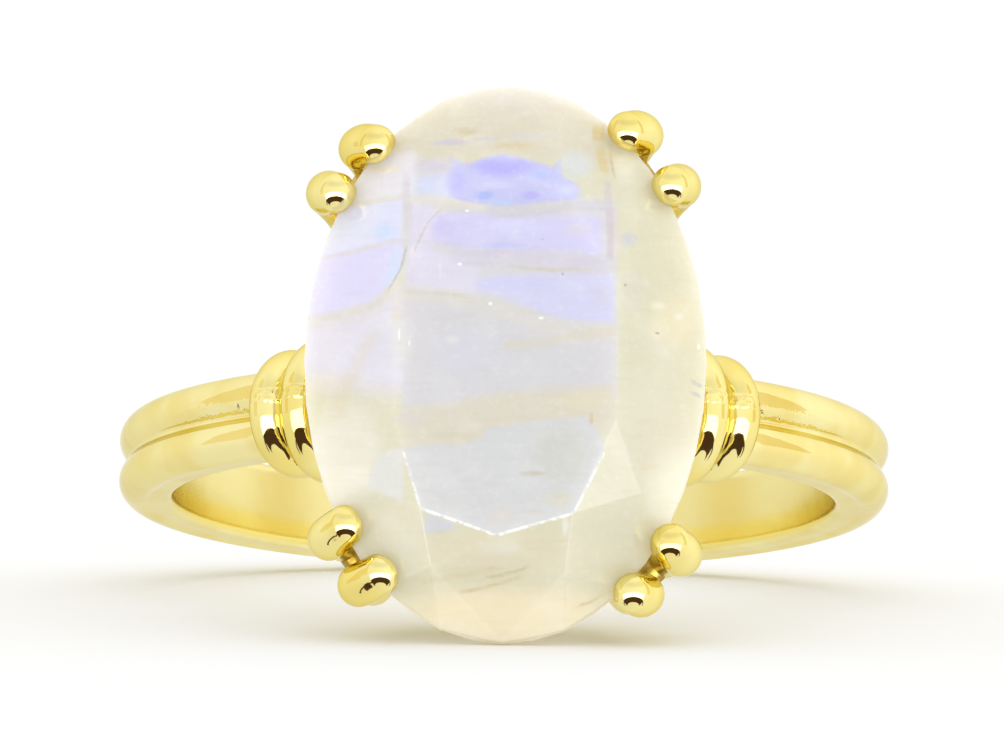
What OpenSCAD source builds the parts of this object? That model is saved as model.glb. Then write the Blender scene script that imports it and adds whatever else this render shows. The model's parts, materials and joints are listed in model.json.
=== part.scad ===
// Oval moonstone ring: a faceted stone held by four pairs of claws on a double-rib gold shank.
// Millimetres, +Z up. The ring lies on its side as it rests by itself: the lower end of the stone and the
// lower edge of the shank touch Z = 0, the table of the stone faces -Y and the finger hole is nearly
// upright. Every module draws the ring upright about the centre of the finger hole, X across the hand,
// Y along the finger and Z towards the stone, and laid() then lays it on its side.

/* [Finger hole and shank] */
// Radius of the finger hole, a ring size 7
hole_r = 8.65; // [8.4:0.05:8.75]
// Radius over the tops of the two ribs
shank_outer_r = 10.11; // [10.05:0.01:10.2]
// Radius of the round section of each rib
rib_r = 0.57; // [0.56:0.01:0.6]
// Distance between the centres of the two ribs
rib_pitch = 1.08; // [1.04:0.02:1.1]
// Radius of the floor of the groove between the ribs
groove_r = 9.84; // [9.8:0.01:9.86]
// Width of the band behind the ribs
band_w = 2.14; // [2.08:0.02:2.14]
// Rounding of the two edges of the finger hole
edge_round = 0.25; // [0.2:0.05:0.3]

/* [Collars on the shoulders] */
// Angle of the outer collar from the top of the ring
outer_collar_deg = 34.8; // [34.6:0.1:36]
// Angle of the inner collar from the top of the ring
inner_collar_deg = 28.9; // [28:0.1:29.2]
// Radius of the tube of a collar
collar_tube_r = 0.56; // [0.54:0.01:0.6]
// Ring radius at which the collars are centred
collar_centre_r = 9.3; // [9.25:0.05:9.35]
// Radius of the outer collar at the middle of its tube
outer_collar_r = 1.08; // [1.02:0.02:1.1]
// Radius of the inner collar at the middle of its tube
inner_collar_r = 1.3; // [1.2:0.05:1.35]

/* [Stone] */
// Length of the stone along the finger
stone_l = 13.9; // [13.8:0.1:14.1]
// Width of the stone across the hand
stone_w = 9.9; // [9.8:0.1:10.1]
// Height of the middle of the girdle above the centre of the finger hole
girdle_z = 15; // [14.9:0.1:15.3]
// Thickness of the girdle at the tips of the main facets
girdle_t = 0.4; // [0.36:0.02:0.44]
// Height of the table above the middle of the girdle
table_z = 1.8; // [1.7:0.05:1.9]
// Length of the table from corner to corner along the finger
table_l = 9.2; // [9:0.1:9.4]
// Width of the table's own oval, which its corners lie on
table_w = 5.8; // [5.6:0.1:6]
// Most that a corner of the table is turned towards the nearer end of the stone
table_turn_deg = 4; // [0:0.5:5]
// Shift across the hand of the table's lower left, lowest and lower right corners from that oval
low_shifts_x = [-0.5, -0.2, 0.12]; // [-0.5:0.01:0.2]
// Shift along the finger of the same corners
low_shifts_y = [0, 0.04, -0.12]; // [-0.2:0.01:0.1]
// Turn of the main facets at the same corners from square to the girdle
low_main_turns_deg = [-12, 0, 8]; // [-12:1:10]
// Length of the oval that the outer corners of the star facets lie on
star_l = 11.56; // [11.5:0.02:11.6]
// Width of the oval that the outer corners of the star facets lie on
star_w = 8.24; // [8.2:0.02:8.3]
// Depth of the culet below the middle of the girdle
culet_z = 4.3; // [4.1:0.1:4.3]
// Size of the oval of the pavilion's inner corners, as a share of the girdle
pavilion_share = 0.3; // [0.26:0.02:0.34]

/* [Claws] */
// Gap between the stone and the metal
stone_gap = 0.04; // [0.03:0.01:0.06]
// Places of the side claws round the girdle: upper left, upper right, lower left and lower right
side_claws_deg = [35.6, 38.6, 37.2, 39]; // [35:0.1:40]
// Places of the end claws round the girdle, in the same order
end_claws_deg = [49.8, 54.9, 51.4, 52.9]; // [49:0.1:55.5]
// How far outside the girdle the beads of the side claws stand, in the same order
side_beads_out = [0.23, 0.21, -0.1, 0.29]; // [-0.15:0.01:0.3]
// How far outside the girdle the beads of the end claws stand, in the same order
end_beads_out = [0.1, 0.14, -0.14, 0.3]; // [-0.15:0.01:0.3]
// How far outside the girdle the shoulders of the side claws stand, in the same order
side_shoulders_out = [0.49, 0.45, 0.38, 0.6]; // [0.38:0.01:0.6]
// How far outside the girdle the shoulders of the end claws stand, in the same order
end_shoulders_out = [0.44, 0.45, 0.39, 0.43]; // [0.38:0.01:0.5]
// How much nearer to the side claws the stems of the end claws stand than their beads
splay_deg = 2; // [1.5:0.1:2.5]
// Radius of the bead at the tip of a claw
bead_r = 0.51; // [0.5:0.01:0.52]
// Height of the bead's centre above the middle of the girdle
bead_z = 0.45; // [0.43:0.01:0.47]
// Radius of the shoulder of a claw, beside the girdle
shoulder_r = 0.54; // [0.53:0.01:0.56]
// Depth of the shoulder's centre below the middle of the girdle
shoulder_drop = 0.3; // [0.26:0.02:0.34]
// Radius of a claw's stem
stem_r = 0.44; // [0.42:0.01:0.46]
// How much further in than the shoulder the stem's knee stands
knee_in = 0.5; // [0.46:0.02:0.54]
// Depth of the stem's knee below the middle of the girdle
knee_drop = 2.4; // [2.3:0.1:2.5]
// Radius of the bridge that ties the two stems of a pair
bridge_r = 0.33; // [0.31:0.01:0.35]
// Depth of that bridge below the middle of the girdle
bridge_drop = 2; // [1.9:0.05:2.1]

/* [Gallery] */
// Length of the upper gallery rail along the middle of its wire
rail_l = 11.4; // [11.2:0.1:11.5]
// Width of the upper gallery rail along the middle of its wire
rail_w = 8.6; // [8.5:0.1:8.6]
// Depth of the upper gallery rail below the middle of the girdle
rail_drop = 3.2; // [3.1:0.1:3.3]
// Radius of the wire of the upper gallery rail
rail_r = 0.36; // [0.34:0.02:0.4]
// Length of the base rail along the middle of its wire
base_l = 9.6; // [9.4:0.1:9.8]
// Width of the base rail along the middle of its wire
base_w = 7; // [6.8:0.1:7.1]
// Height of the base rail above the centre of the finger hole
base_z = 9.8; // [9.7:0.05:9.85]
// Radius of the wire of the base rail
base_r = 0.48; // [0.46:0.02:0.5]

/* [Hidden] */
$fn = 64;
rib_axis_r = shank_outer_r - rib_r;
band_half = band_w / 2;
collar_hole_r = hole_r + 0.1;
collar_barrel_r = 30;
link_share = 0.94;
notch_reach = 1.6;
crown_slope = 1.05;
pavilion_slope = 0.8;
facets = 10;
facet_deg = 360 / facets;
girdle_steps = 4 * facets;
low_girdle_z = girdle_z - girdle_t / 2;
high_girdle_z = girdle_z + girdle_t / 2;
crown_top = girdle_z + table_z;
rise = (stone_l - rib_pitch) / 2;
run = low_girdle_z + rib_axis_r;
lie_deg = atan2(rise, run) - asin(rib_r / norm([rise, run]));
floor_z = stone_l / 2 * cos(lie_deg) - low_girdle_z * sin(lie_deg);
front_y = table_l / 2 * sin(lie_deg) + (girdle_z + table_z) * cos(lie_deg);
back_y = rib_pitch / 2 * sin(lie_deg) + rib_axis_r * cos(lie_deg) + rib_r;
// Corners of the stone: side of the shoulder and end of the stone
corners = [[-1, 1], [1, 1], [-1, -1], [1, -1]];

// Lays the ring on its side on the floor, centred under its own box.
module laid() {
  translate([0, (front_y - back_y) / 2, floor_z])
    rotate([90 - lie_deg, 0, 0])
      children();
}

// A point of an oval of the given length and width.
function oval(deg, l, w, z) = [w / 2 * cos(deg), l / 2 * sin(deg), z];

// The direction that points straight out of the girdle at a place round it.
function outward(deg) =
  let (v = [cos(deg) / stone_w, sin(deg) / stone_l, 0]) v / norm(v);

// A point beside the girdle: a place round it, a distance outside it and a height above its middle.
function beside(deg, out, up) = oval(deg, stone_l, stone_w, girdle_z + up) + out * outward(deg);

// The same place round the girdle in another quarter of the oval.
function in_quarter(deg, sx, sy) = atan2(sy * sin(deg), sx * cos(deg));

// The height at which the upright through v meets the plane of three points.
function on_plane(p, q, r, v) =
  let (n = cross(q - p, r - p)) p.z - (n.x * (v.x - p.x) + n.y * (v.y - p.y)) / n.z;

// A direction turned about the vertical.
function turned(v, deg) = [v.x * cos(deg) - v.y * sin(deg), v.x * sin(deg) + v.y * cos(deg), v.z];

// The point that three planes share, each given as its normal and its distance along that.
function meet(a, b, c) =
  (a[1] * cross(b[0], c[0]) + b[1] * cross(c[0], a[0]) + c[1] * cross(a[0], b[0]))
  / (a[0] * cross(b[0], c[0]));

// What a list for the lower left, lowest and lower right facets gives a facet, or nought for the others.
function of_low(list, k) = let (i = (k + 1) % facets) i < len(list) ? list[i] : 0;

// A corner of the table: they crowd a little towards its two ends, and the three lower ones are shifted.
function table_corner(k) =
  oval(k * facet_deg - 90 - table_turn_deg * sin(2 * k * facet_deg), table_l, table_w, crown_top)
  + [of_low(low_shifts_x, k), of_low(low_shifts_y, k), 0];

// The plane of a main facet, through the tip on the girdle and the corner of the table.
function main_plane(k) =
  let (
    tip = oval(k * facet_deg - 90, stone_l, stone_w, high_girdle_z),
    out = turned(outward(k * facet_deg - 90), of_low(low_main_turns_deg, k)),
    n = (crown_top - high_girdle_z) * out + [0, 0, (tip - table_corner(k)) * out]
  )
  [n, n * tip];

// The outer corner of a star facet, where two main facets meet over the oval of these corners.
function star_corner(k) =
  let (deg = (k + 0.5) * facet_deg - 90, out = outward(deg))
  meet(main_plane(k), main_plane((k + 1) % facets), [out, out * oval(deg, star_l, star_w, 0)]);

// A point moved to another height.
function at_height(v, z) = [v.x, v.y, z];

// A round rod between two points.
module rod(p, q, r) {
  d = q - p;
  translate(p)
    rotate([0, acos(d.z / norm(d)), atan2(d.y, d.x)])
      cylinder(h = norm(d), r = r);
}

module ball(p, r) {
  translate(p)
    sphere(r = r);
}

// Section of the shank: two round ribs with a groove between them on a band with rounded inner edges.
module shank_section() {
  for (side = [-1, 1]) {
    translate([rib_axis_r, side * rib_pitch / 2])
      circle(r = rib_r);
    translate([hole_r + edge_round, side * (band_half - edge_round)])
      circle(r = edge_round);
  }
  translate([hole_r + edge_round, -band_half])
    square([rib_axis_r - hole_r - edge_round, band_w]);
  translate([hole_r, edge_round - band_half])
    square([rib_axis_r - hole_r, band_w - 2 * edge_round]);
  translate([hole_r + edge_round, -rib_pitch / 2])
    square([groove_r - hole_r - edge_round, rib_pitch]);
}

module shank() {
  rotate([90, 0, 0])
    rotate_extrude()
      shank_section();
}

// One round collar wrapped about the shank.
module collar(deg, ring_r) {
  rotate([0, deg, 0])
    translate([0, 0, collar_centre_r])
      rotate([0, 90, 0])
        rotate_extrude()
          translate([ring_r, 0])
            circle(r = collar_tube_r);
}

// Half section of the barrel that opens the collars for the finger: widest in the middle of the band.
module finger_barrel_section() {
  intersection() {
    translate([collar_hole_r - collar_barrel_r, 0])
      circle(r = collar_barrel_r, $fn = 360);
    translate([0, -band_w])
      square([collar_hole_r, 2 * band_w]);
  }
}

module collars() {
  difference() {
    for (side = [-1, 1]) {
      collar(side * outer_collar_deg, outer_collar_r);
      collar(side * inner_collar_deg, inner_collar_r);
    }
    rotate([90, 0, 0])
      rotate_extrude()
        finger_barrel_section();
  }
}

// An oval rail of round wire.
module rail(l, w, z, r) {
  mean = (l + w) / 4;
  translate([0, 0, z])
    scale([w / 2 / mean, l / 2 / mean, 1])
      rotate_extrude()
        translate([mean, 0])
          circle(r = r);
}

// The seat cut in a claw: the edge of the stone with the gap round it, straight along the girdle.
module notch(deg) {
  edge = girdle_t / 2;
  out = outward(deg);
  translate(beside(deg, 0, 0))
    rotate([90, 0, atan2(out.y, out.x)])
      linear_extrude(height = 4 * shoulder_r, center = true)
        polygon([
          [stone_gap, -edge],
          [stone_gap, edge],
          [-notch_reach, edge + stone_gap + crown_slope * notch_reach],
          [-notch_reach, -edge - stone_gap - pavilion_slope * notch_reach]
        ]);
}

// One claw: a bead over the edge of the stone, a shoulder beside the girdle and a bent stem to the base rail.
module claw(bead_deg, stem_deg, bead_out, shoulder_out) {
  bead = beside(bead_deg, bead_out, bead_z);
  shoulder = beside(stem_deg, shoulder_out, -shoulder_drop);
  knee = beside(stem_deg, shoulder_out - knee_in, -knee_drop);
  foot = oval(stem_deg, base_l, base_w, base_z);
  difference() {
    union() {
      ball(bead, bead_r);
      rod(bead, shoulder, bead_r * link_share);
      ball(shoulder, shoulder_r);
      rod(shoulder, knee, stem_r);
      ball(knee, stem_r / link_share);
    }
    notch(bead_deg);
  }
  rod(knee, foot, stem_r * link_share);
}

// A point on the line from a claw's shoulder to its knee, at the depth of the bridge.
function bridge_end(stem_deg, shoulder_out) =
  let (share = (bridge_drop - shoulder_drop) / (knee_drop - shoulder_drop))
  beside(stem_deg, shoulder_out - share * knee_in, -bridge_drop);

// A pair of claws and the bridge between their stems, at one corner of the stone.
module claw_pair(i) {
  s = corners[i];
  side = in_quarter(side_claws_deg[i], s.x, s.y);
  end_bead = in_quarter(end_claws_deg[i], s.x, s.y);
  end_stem = in_quarter(end_claws_deg[i] - splay_deg, s.x, s.y);
  claw(side, side, side_beads_out[i], side_shoulders_out[i]);
  claw(end_bead, end_stem, end_beads_out[i], end_shoulders_out[i]);
  rod(bridge_end(side, side_shoulders_out[i]), bridge_end(end_stem, end_shoulders_out[i]), bridge_r);
}

// All the metal, soldered into one piece.
module mount() {
  color("gold")
    laid()
      union() {
        shank();
        collars();
        rail(rail_l, rail_w, girdle_z - rail_drop, rail_r);
        rail(base_l, base_w, base_z, base_r);
        for (i = [0:3])
          claw_pair(i);
      }
}

// A faceted oval: a ten-sided table, star facets, main facets and halves over and under the girdle.
module moonstone() {
  low = -90;
  half = facet_deg / 2;
  keel = girdle_z - culet_z;
  inner_z = keel + (low_girdle_z - keel) * pavilion_share * cos(half);

  table = [for (k = [0:facets - 1]) table_corner(k)];
  star = [for (k = [0:facets - 1]) star_corner(k)];
  inner = [
    for (k = [0:facets - 1])
      oval(low + half + k * facet_deg, stone_l * pavilion_share, stone_w * pavilion_share, inner_z)
  ];
  even_top = [for (j = [0:girdle_steps]) oval(low + j * facet_deg / 4, stone_l, stone_w, high_girdle_z)];
  even_low = [for (v = even_top) at_height(v, low_girdle_z)];
  upper = [
    for (j = [0:girdle_steps - 1])
      let (v = even_top[j], s = star[floor(j / 4)])
        j % 2 == 0 ? v : at_height(v, on_plane(s, even_top[j - 1], even_top[j + 1], v))
  ];
  lower = [
    for (j = [0:girdle_steps - 1])
      let (v = even_low[j], s = inner[floor(j / 4)])
        j % 2 == 0 ? v : at_height(v, on_plane(s, even_low[j - 1], even_low[j + 1], v))
  ];

  n = facets;
  m = girdle_steps;
  s_at = n;
  u_at = s_at + n;
  l_at = u_at + m;
  p_at = l_at + m;
  culet = p_at + n;
  faces = concat(
    [[for (k = [n - 1:-1:0]) k]],
    [for (k = [0:n - 1]) [k, (k + 1) % n, s_at + k]],
    [for (k = [0:n - 1]) [k, s_at + k, u_at + 4 * k, s_at + (k + n - 1) % n]],
    [for (k = [0:n - 1]) [s_at + k, u_at + 4 * k + 2, u_at + 4 * k + 1, u_at + 4 * k]],
    [for (k = [0:n - 1]) [s_at + k, u_at + (4 * k + 4) % m, u_at + 4 * k + 3, u_at + 4 * k + 2]],
    [for (j = [0:m - 1]) [u_at + j, u_at + (j + 1) % m, l_at + (j + 1) % m, l_at + j]],
    [for (k = [0:n - 1]) [p_at + k, l_at + 4 * k, l_at + 4 * k + 1, l_at + 4 * k + 2]],
    [for (k = [0:n - 1]) [p_at + k, l_at + 4 * k + 2, l_at + 4 * k + 3, l_at + (4 * k + 4) % m]],
    [for (k = [0:n - 1]) [culet, p_at + (k + n - 1) % n, l_at + 4 * k, p_at + k]]
  );
  color("ghostwhite")
    laid()
      polyhedron(points = concat(table, star, upper, lower, inner, [[0, 0, keel]]), faces = faces);
}

mount();
moonstone();
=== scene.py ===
"""Looks of a moonstone ring that lies on its side on a pale floor.

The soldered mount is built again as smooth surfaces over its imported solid, and the stone as a copy of its
packed facets with polished edges. Sizes are millimetres in the ring's own frame, with X across the hand,
Y along the finger and Z towards the stone, until RingFrame.place() turns them into metres in the row frame.
"""

import json
import logging
import math
from dataclasses import dataclass
from enum import Enum

import bmesh
import bpy
import numpy as np
from mathutils import Matrix, Vector


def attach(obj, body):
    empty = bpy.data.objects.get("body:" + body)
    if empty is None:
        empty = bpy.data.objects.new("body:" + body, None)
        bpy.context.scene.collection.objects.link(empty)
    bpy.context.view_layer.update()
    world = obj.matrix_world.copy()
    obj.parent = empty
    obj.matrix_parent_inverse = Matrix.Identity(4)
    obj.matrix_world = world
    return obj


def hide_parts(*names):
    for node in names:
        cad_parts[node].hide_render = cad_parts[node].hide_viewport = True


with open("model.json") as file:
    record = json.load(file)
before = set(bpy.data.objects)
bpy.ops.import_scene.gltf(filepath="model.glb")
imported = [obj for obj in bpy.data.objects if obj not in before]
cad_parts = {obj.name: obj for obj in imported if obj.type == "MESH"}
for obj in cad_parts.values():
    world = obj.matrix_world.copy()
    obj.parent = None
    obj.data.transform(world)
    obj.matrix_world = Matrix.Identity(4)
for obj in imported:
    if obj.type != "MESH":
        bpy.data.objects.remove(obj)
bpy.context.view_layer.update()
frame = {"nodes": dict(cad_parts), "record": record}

Point = tuple[float, float]
Tree, Node, Socket = bpy.types.NodeTree, bpy.types.Node, bpy.types.NodeSocket
Material, Piece = bpy.types.Material, bpy.types.Object

# A smooth step: the values where it starts and ends, and its results before and after it. With this setting a
# Map Range node makes one, and its first five inputs are a value and these four.
Step = tuple[float, float, float, float]
SMOOTH = {"interpolation_type": "SMOOTHSTEP"}

# Metres in a millimetre, a length in millimetres that is too small to show, and how high over the centre of the
# finger hole the middle of the girdle stands
MM = 0.001
TINY_MM = 0.001
GIRDLE_Z_MM = 15.0

BODY = "root"
PHOTO_WIDTH_PX = 1004
SENSOR_MM = 36.0
UP = np.array((0.0, 0.0, 1.0))
WHITE = "#FFFFFF"

# Inputs of the Mix node, which has one set of them for each kind of value
MIX_FACTOR, MIX_A, MIX_B = 0, 6, 7

log = logging.getLogger("moonstone_ring")


class Slot(Enum):
    """The material slots of the record."""

    GOLD = "gold"
    MOONSTONE = "moonstone"


class Side(Enum):
    """The two shoulders of the ring, as seen with the stone towards the viewer."""

    LEFT = -1
    RIGHT = 1


class End(Enum):
    """The two ends of the stone: the lower one rests on the floor."""

    LOWER = -1
    UPPER = 1


class Mode(Enum):
    """How a tone meets the colour under it."""

    COVER = "MIX"
    TINT = "MULTIPLY"


def linear(code: str) -> tuple[float, float, float, float]:
    """The linear colour of an sRGB hex code such as #F2DC86.

    Args:
        code: a hash and six hexadecimal digits.

    Returns:
        Red, green, blue and an alpha of 1, all from 0 to 1.
    """
    parts = [int(code[i : i + 2], 16) / 255 for i in (1, 3, 5)]
    bent = [c / 12.92 if c <= 0.04045 else ((c + 0.055) / 1.055) ** 2.4 for c in parts]
    return (*bent, 1.0)


@dataclass(frozen=True)
class RingFrame:
    """Where the ring lies: the centre of its finger hole and its three axes in the row frame."""

    centre: Vector
    across: Vector
    finger: Vector
    outward: Vector
    hole_r: float

    @classmethod
    def of_record(cls, record: dict) -> "RingFrame":
        """The frame that the record's finger hole gives.

        Args:
            record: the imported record.

        Returns:
            A frame whose outward axis points from the hole to the stone.
        """
        hole = next(m for m in record["mounts"] if m["name"] == "finger_hole")
        across = Vector((1.0, 0.0, 0.0))
        finger = Vector(hole["axis"]).normalized()
        return cls(Vector(hole["pos_m"]), across, finger, across.cross(finger), hole["dims"]["r_mm"])

    def turn(self) -> Matrix:
        """The rotation from the ring's own axes to the row frame."""
        return Matrix((self.across, self.finger, self.outward)).transposed()

    def place(self, points: np.ndarray) -> np.ndarray:
        """Points of the ring in millimetres, as metres in the row frame: turned, scaled and moved."""
        return points @ np.array(self.turn()).T * MM + np.array(self.centre)

    def spot(self, x: float, y: float, z: float) -> Vector:
        """One point of the ring in millimetres, as metres in the row frame."""
        return Vector(self.place(np.array([[x, y, z]]))[0])


RING = RingFrame.of_record(frame["record"])


def leant(lean_deg: float, turn_deg: float) -> Matrix:
    """The ring's axes leant back about X, of which the first two are then turned in their own plane.

    Args:
        lean_deg: how far they lean.
        turn_deg: how far the first two turn.

    Returns:
        The three axes as rows.
    """
    lean, turn = math.radians(lean_deg), math.radians(turn_deg)
    right, out = Vector((1, 0, 0)), Vector((0, -math.sin(lean), math.cos(lean)))
    up = out.cross(right)
    return Matrix((
        right * math.cos(turn) + up * math.sin(turn),
        up * math.cos(turn) - right * math.sin(turn),
        out,
    ))


def unit(vectors: np.ndarray) -> np.ndarray:
    """Vectors divided by their own lengths."""
    return vectors / np.linalg.norm(vectors, axis=-1, keepdims=True)


def arc(centre: Point, radius: float, start_deg: float, end_deg: float, count: int) -> np.ndarray:
    """Points of a circular arc: the centre plus the radius times (cosine, sine) of evenly spaced angles."""
    angle = np.radians(np.linspace(start_deg, end_deg, count))
    return np.array(centre) + radius * np.stack([np.cos(angle), np.sin(angle)], axis=1)


def curve(keys: np.ndarray, count: int) -> np.ndarray:
    """A smooth curve through key rows, with a cubic between each pair of neighbours.

    The slope at a key is half the difference of its two neighbours, and the first and last keys are
    mirrored outwards to give the slopes at the ends.

    Args:
        keys: one row for each key, of any number of columns.
        count: how many rows to return, evenly spaced in the parameter.

    Returns:
        Rows of the same columns as the keys.
    """
    padded = np.vstack([2 * keys[0] - keys[1], keys, 2 * keys[-1] - keys[-2]])
    at = np.linspace(0, len(keys) - 1, count)
    first = np.minimum(at.astype(int), len(keys) - 2)
    t = (at - first)[:, None]
    p0, p1, p2, p3 = (padded[first + i] for i in range(4))
    cubic = 3 * (p1 - p2) + p3 - p0
    square = 2 * p0 - 5 * p1 + 4 * p2 - p3
    return p1 + 0.5 * t * (p2 - p0 + t * (square + t * cubic))


def tube(path: np.ndarray, side: np.ndarray, wide: np.ndarray, deep: np.ndarray, count: int) -> np.ndarray:
    """Rings of an oval section carried along a path.

    Each ring is the path's point, plus wide times the cosine along the side direction, plus deep times the
    sine along the direction square to both the side and the path.

    Args:
        path: the points of the centre line.
        side: a direction square to most of the path, one row or one for each point.
        wide: half the section's width at each point.
        deep: half the section's depth at each point.
        count: how many points go round the section.

    Returns:
        An array of rings, points and coordinates.
    """
    along = unit(np.gradient(path, axis=0))
    up = unit(np.cross(along, side))
    flank = np.cross(up, along)
    angle = np.linspace(0, 2 * math.pi, count, endpoint=False)
    cos, sin = np.cos(angle)[None, :, None], np.sin(angle)[None, :, None]
    return path[:, None] + wide[:, None, None] * cos * flank[:, None] + deep[:, None, None] * sin * up[:, None]


def grid_faces(rows: int, columns: int, rows_meet: bool, columns_meet: bool) -> np.ndarray:
    """The quads between neighbours on a grid of points that are counted row by row.

    Args:
        rows: how many rows of points there are.
        columns: how many points a row has.
        rows_meet: whether the last row joins the first.
        columns_meet: whether the last point of each row joins the first.

    Returns:
        The four points of each quad: a point, the next one in its row, and the two beside them in the next row.
    """
    starts_i = np.arange(rows if rows_meet else rows - 1)
    starts_j = np.arange(columns if columns_meet else columns - 1)
    i, j = np.meshgrid(starts_i, starts_j, indexing="ij")
    here, there = i * columns, (i + 1) % rows * columns
    step = (j + 1) % columns
    return np.stack([here + j, here + step, there + step, there + j], axis=-1).reshape(-1, 4)


def skin(rings: np.ndarray, closed: bool) -> tuple[np.ndarray, list[list[int]]]:
    """The closed mesh over rings of points: quads between neighbours, and a fan of triangles at each end.

    The faces are turned round where the volume that they enclose comes out negative.

    Args:
        rings: an array of rings, points and coordinates, whose rings close on themselves.
        closed: whether the last ring joins the first, so that there are no ends.

    Returns:
        The points, and the faces with their outsides turned outwards.
    """
    n, m = rings.shape[:2]
    points = rings.reshape(-1, 3)
    quads = grid_faces(n, m, closed, True)
    faces = quads.tolist()
    corners = np.vstack([quads[:, [0, 1, 2]], quads[:, [0, 2, 3]]])
    if not closed:
        k = np.arange(m)
        last = (n - 1) * m
        fans = np.vstack([
            np.stack([np.full(m, n * m), (k + 1) % m, k], axis=1),
            np.stack([np.full(m, n * m + 1), last + k, last + (k + 1) % m], axis=1),
        ])
        points = np.vstack([points, rings[[0, -1]].mean(axis=1)])
        faces += fans.tolist()
        corners = np.vstack([corners, fans])
    a, b, c = (points[corners[:, s]] for s in range(3))
    volume = np.einsum("ij,ij->i", a, np.cross(b, c)).sum()
    if volume < 0:
        faces = [face[::-1] for face in faces]
    return points, faces


def show(name: str, data: bpy.types.ID) -> Piece:
    """Puts a mesh or a camera into the scene.

    Args:
        name: the object's name.
        data: what it holds.

    Returns:
        The new object, at the origin and unturned.
    """
    made = bpy.data.objects.new(name, data)
    bpy.context.scene.collection.objects.link(made)
    return made


def fit(piece: Piece, node: str) -> Piece:
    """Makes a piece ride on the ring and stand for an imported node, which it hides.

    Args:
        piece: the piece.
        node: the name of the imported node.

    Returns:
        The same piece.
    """
    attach(piece, BODY)
    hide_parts(node)
    log.info("%s: %d faces", piece.name, len(piece.data.polygons))
    return piece


def metal(name: str, rings: np.ndarray, closed: bool, finish: Material, crease_deg: float) -> Piece:
    """A piece of the mount: the skin over rings of points, smooth but for the edges sharper than a crease.

    Args:
        name: the piece's name.
        rings: its points in millimetres in the ring's own frame, laid out as skin() takes them.
        closed: whether the last ring joins the first.
        finish: its material.
        crease_deg: the angle between two faces above which their edge stays sharp.

    Returns:
        The piece, at the origin and unturned.
    """
    points, faces = skin(rings, closed)
    mesh = bpy.data.meshes.new(name)
    mesh.from_pydata(RING.place(points).tolist(), [], faces)
    mesh.shade_smooth()
    mesh.set_sharp_from_angle(angle=math.radians(crease_deg))
    mesh.materials.append(finish)
    return fit(show(name, mesh), "mount")


def feed(tree: Tree, node: Node, inputs: dict[int | str, object]) -> None:
    """Gives a node its inputs.

    Args:
        tree: the node tree of a material or the world.
        node: the node.
        inputs: for each input, by number or name, its value, or the socket that feeds it, or a node of which
            the first output in use feeds it.
    """
    for key, value in inputs.items():
        if isinstance(value, Node):
            value = next(output for output in value.outputs if output.enabled)
        if isinstance(value, Socket):
            tree.links.new(value, node.inputs[key])
        else:
            node.inputs[key].default_value = value


def add(tree: Tree, kind: str, inputs: dict[int | str, object] | tuple, **settings: object) -> Node:
    """Adds a node to a tree.

    Args:
        tree: the node tree of a material or the world.
        kind: the node's type, without the ShaderNode that each type starts with.
        inputs: what feed() gives to its inputs, or a tuple of it in the order of the inputs.
        **settings: the node's own settings.

    Returns:
        The new node.
    """
    made = tree.nodes.new("ShaderNode" + kind)
    for name, value in settings.items():
        setattr(made, name, value)
    feed(tree, made, inputs if isinstance(inputs, dict) else dict(enumerate(inputs)))
    return made


def coats(tree: Tree, ground: object, layers: list[tuple[str, object]], mode: Mode = Mode.COVER) -> Node:
    """Tones laid over a ground, one after another.

    Args:
        tree: the node tree.
        ground: the colour under them, or the node that gives it.
        layers: each tone as a hex code, with its share from 0 to 1 or the node that gives it.
        mode: how each tone meets the colour under it.

    Returns:
        The node that gives the last colour.
    """
    for tone, share in layers:
        inputs = {MIX_FACTOR: share, MIX_A: ground, MIX_B: linear(tone)}
        ground = add(tree, "Mix", inputs, data_type="RGBA", blend_type=mode.value)
    return ground


def from_hole(tree: Tree) -> Node:
    """The place of a shading point, in millimetres from the centre of the finger hole."""
    place = add(tree, "TexCoord", ()).outputs["Object"]
    return add(tree, "VectorMath", (place, (1 / MM,) * 3, -RING.centre / MM), operation="MULTIPLY_ADD")


def shader_tree(name: str) -> tuple[Material, Tree, Node]:
    """A new material of nodes.

    Args:
        name: the material's name.

    Returns:
        The material, its node tree and its Principled shader.
    """
    material = bpy.data.materials.new(name)
    material.use_nodes = True
    tree = material.node_tree
    return material, tree, tree.nodes["Principled BSDF"]


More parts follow.
